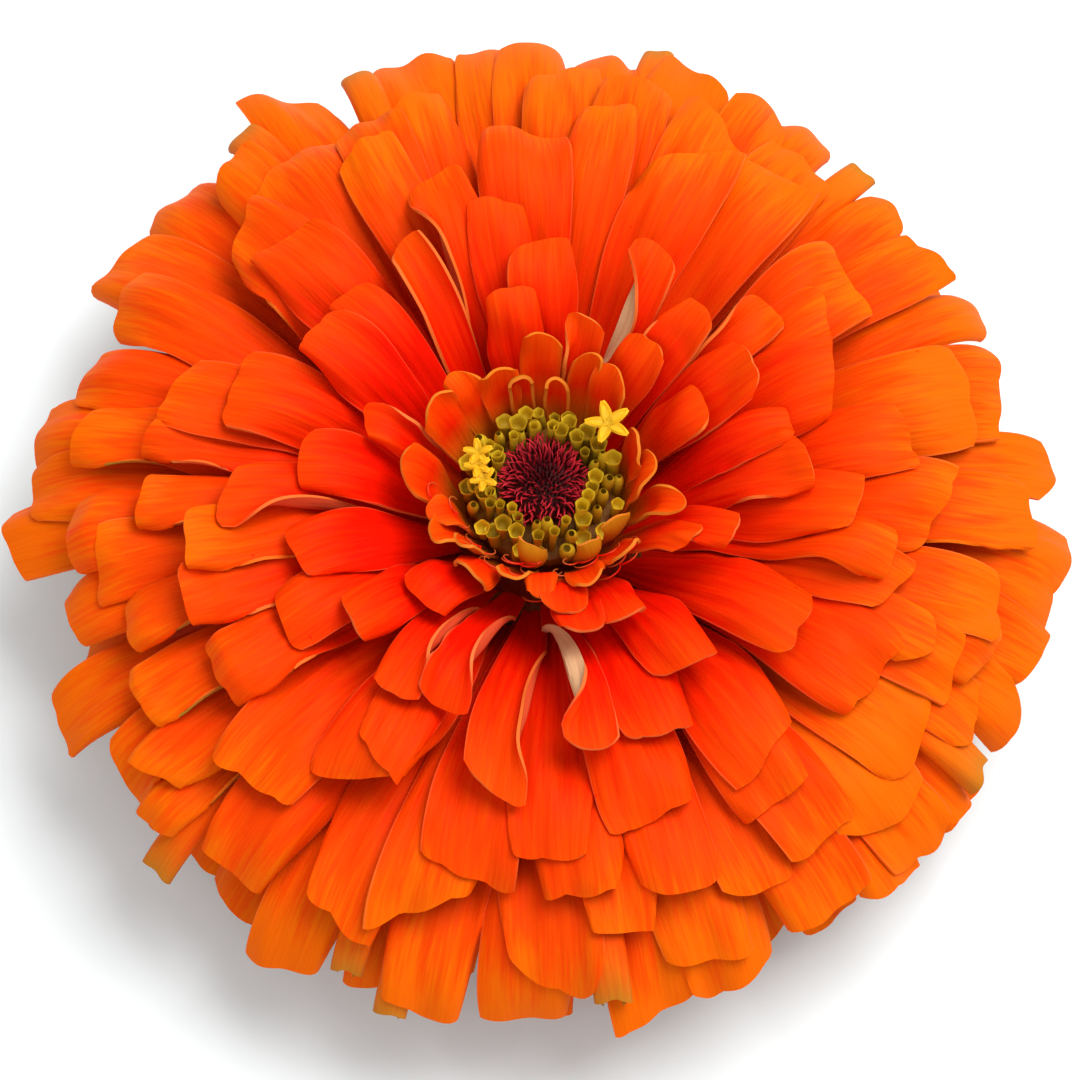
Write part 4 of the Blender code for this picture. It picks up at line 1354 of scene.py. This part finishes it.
class ZINNIA_OT_stage(Operator):
    """Lays the pale floor and sets the camera and the soft lights"""

    bl_idname = "zinnia.stage"
    bl_label = "Stage"

    def execute(self, context):
        stage = context.scene.zinnia_stage
        deselect()
        bpy.ops.mesh.primitive_plane_add(size=6, location=(0, 0, -0.0002))
        floor = context.active_object
        floor.name = "floor"
        made, tree, shader = new_material("floor_paper")
        shader.inputs["Base Color"].default_value = (*colours().floor_white, 1)
        shader.inputs["Roughness"].default_value = 0.7
        shader.inputs["Emission Color"].default_value = (1, 1, 1, 1)
        shader.inputs["Emission Strength"].default_value = stage.floor_glow
        floor.data.materials.append(made)
        self.set_camera(context, stage)
        self.set_lights(context, stage)
        return {"FINISHED"}

    def set_camera(self, context, stage):
        rise = stage.elevation
        up = Vector((0, math.sin(rise), math.cos(rise)))
        aim = Vector((stage.aim_right, 0, stage.aim_height)) - up * stage.aim_down
        eye = aim + Vector((0, -math.cos(rise), math.sin(rise))) * stage.distance
        bpy.ops.object.camera_add(location=eye, rotation=(math.pi / 2 - rise, 0, 0))
        camera = context.active_object
        camera.data.lens = stage.lens
        camera.data.sensor_width = 36
        camera.data.clip_start = 0.01
        context.scene.camera = camera

    def set_lights(self, context, stage):
        world = bpy.data.worlds.new("even_light")
        world.use_nodes = True
        sky = world.node_tree.nodes["Background"]
        sky.inputs["Color"].default_value = (1, 1, 1, 1)
        sky.inputs["Strength"].default_value = stage.sky_strength
        context.scene.world = world
        aim = Vector((0, 0, 0.01))
        for name, place, size, power in (
            ("key", (0.38, 0.26, 0.88), 0.7, stage.key_power),
            ("fill", (-0.2, -0.6, 0.75), 0.8, stage.key_power * 0.12),
        ):
            bpy.ops.object.light_add(type="AREA", location=place)
            lamp = context.active_object
            lamp.name = name
            lamp.data.size = size
            lamp.data.energy = power
            lamp.rotation_euler = (aim - Vector(place)).to_track_quat("-Z", "Y").to_euler()
        context.scene.view_settings.view_transform = "Standard"


class ZINNIA_PT_panel(Panel):
    """Lists the flower's sizes, colours and pieces"""

    bl_label = "Zinnia"
    bl_idname = "ZINNIA_PT_panel"
    bl_space_type = "VIEW_3D"
    bl_region_type = "UI"
    bl_category = "Zinnia"

    def draw(self, context):
        scene = context.scene
        for title, group in (
            ("Head", scene.zinnia_head),
            ("Colours", scene.zinnia_colours),
            ("Stage", scene.zinnia_stage),
        ):
            box = self.layout.box()
            box.label(text=title)
            for name in group.__annotations__:
                box.prop(group, name)
        column = self.layout.column(align=True)
        for operator in OPERATORS:
            column.operator(operator.bl_idname)


OPERATORS = (
    ZINNIA_OT_ray_petals,
    ZINNIA_OT_receptacle,
    ZINNIA_OT_floret_plate,
    ZINNIA_OT_tube_florets,
    ZINNIA_OT_star_florets,
    ZINNIA_OT_disc,
    ZINNIA_OT_styles,
    ZINNIA_OT_involucre,
    ZINNIA_OT_stem,
    ZINNIA_OT_stage,
)
GROUPS = (ZinniaHeadSizes, ZinniaColours, ZinniaStageSizes)


def register():
    for cls in (*GROUPS, *OPERATORS, ZINNIA_PT_panel):
        bpy.utils.register_class(cls)
    bpy.types.Scene.zinnia_head = PointerProperty(type=ZinniaHeadSizes)
    bpy.types.Scene.zinnia_colours = PointerProperty(type=ZinniaColours)
    bpy.types.Scene.zinnia_stage = PointerProperty(type=ZinniaStageSizes)


def unregister():
    del bpy.types.Scene.zinnia_stage
    del bpy.types.Scene.zinnia_colours
    del bpy.types.Scene.zinnia_head
    for cls in reversed((*GROUPS, *OPERATORS, ZINNIA_PT_panel)):
        bpy.utils.unregister_class(cls)


def main():
    register()
    bpy.ops.zinnia.ray_petals()
    bpy.ops.zinnia.receptacle()
    bpy.ops.zinnia.floret_plate()
    bpy.ops.zinnia.tube_florets()
    bpy.ops.zinnia.star_florets()
    bpy.ops.zinnia.disc()
    bpy.ops.zinnia.styles()
    bpy.ops.zinnia.involucre()
    bpy.ops.zinnia.stem()
    bpy.ops.zinnia.stage()


if __name__ == "__main__":
    main()
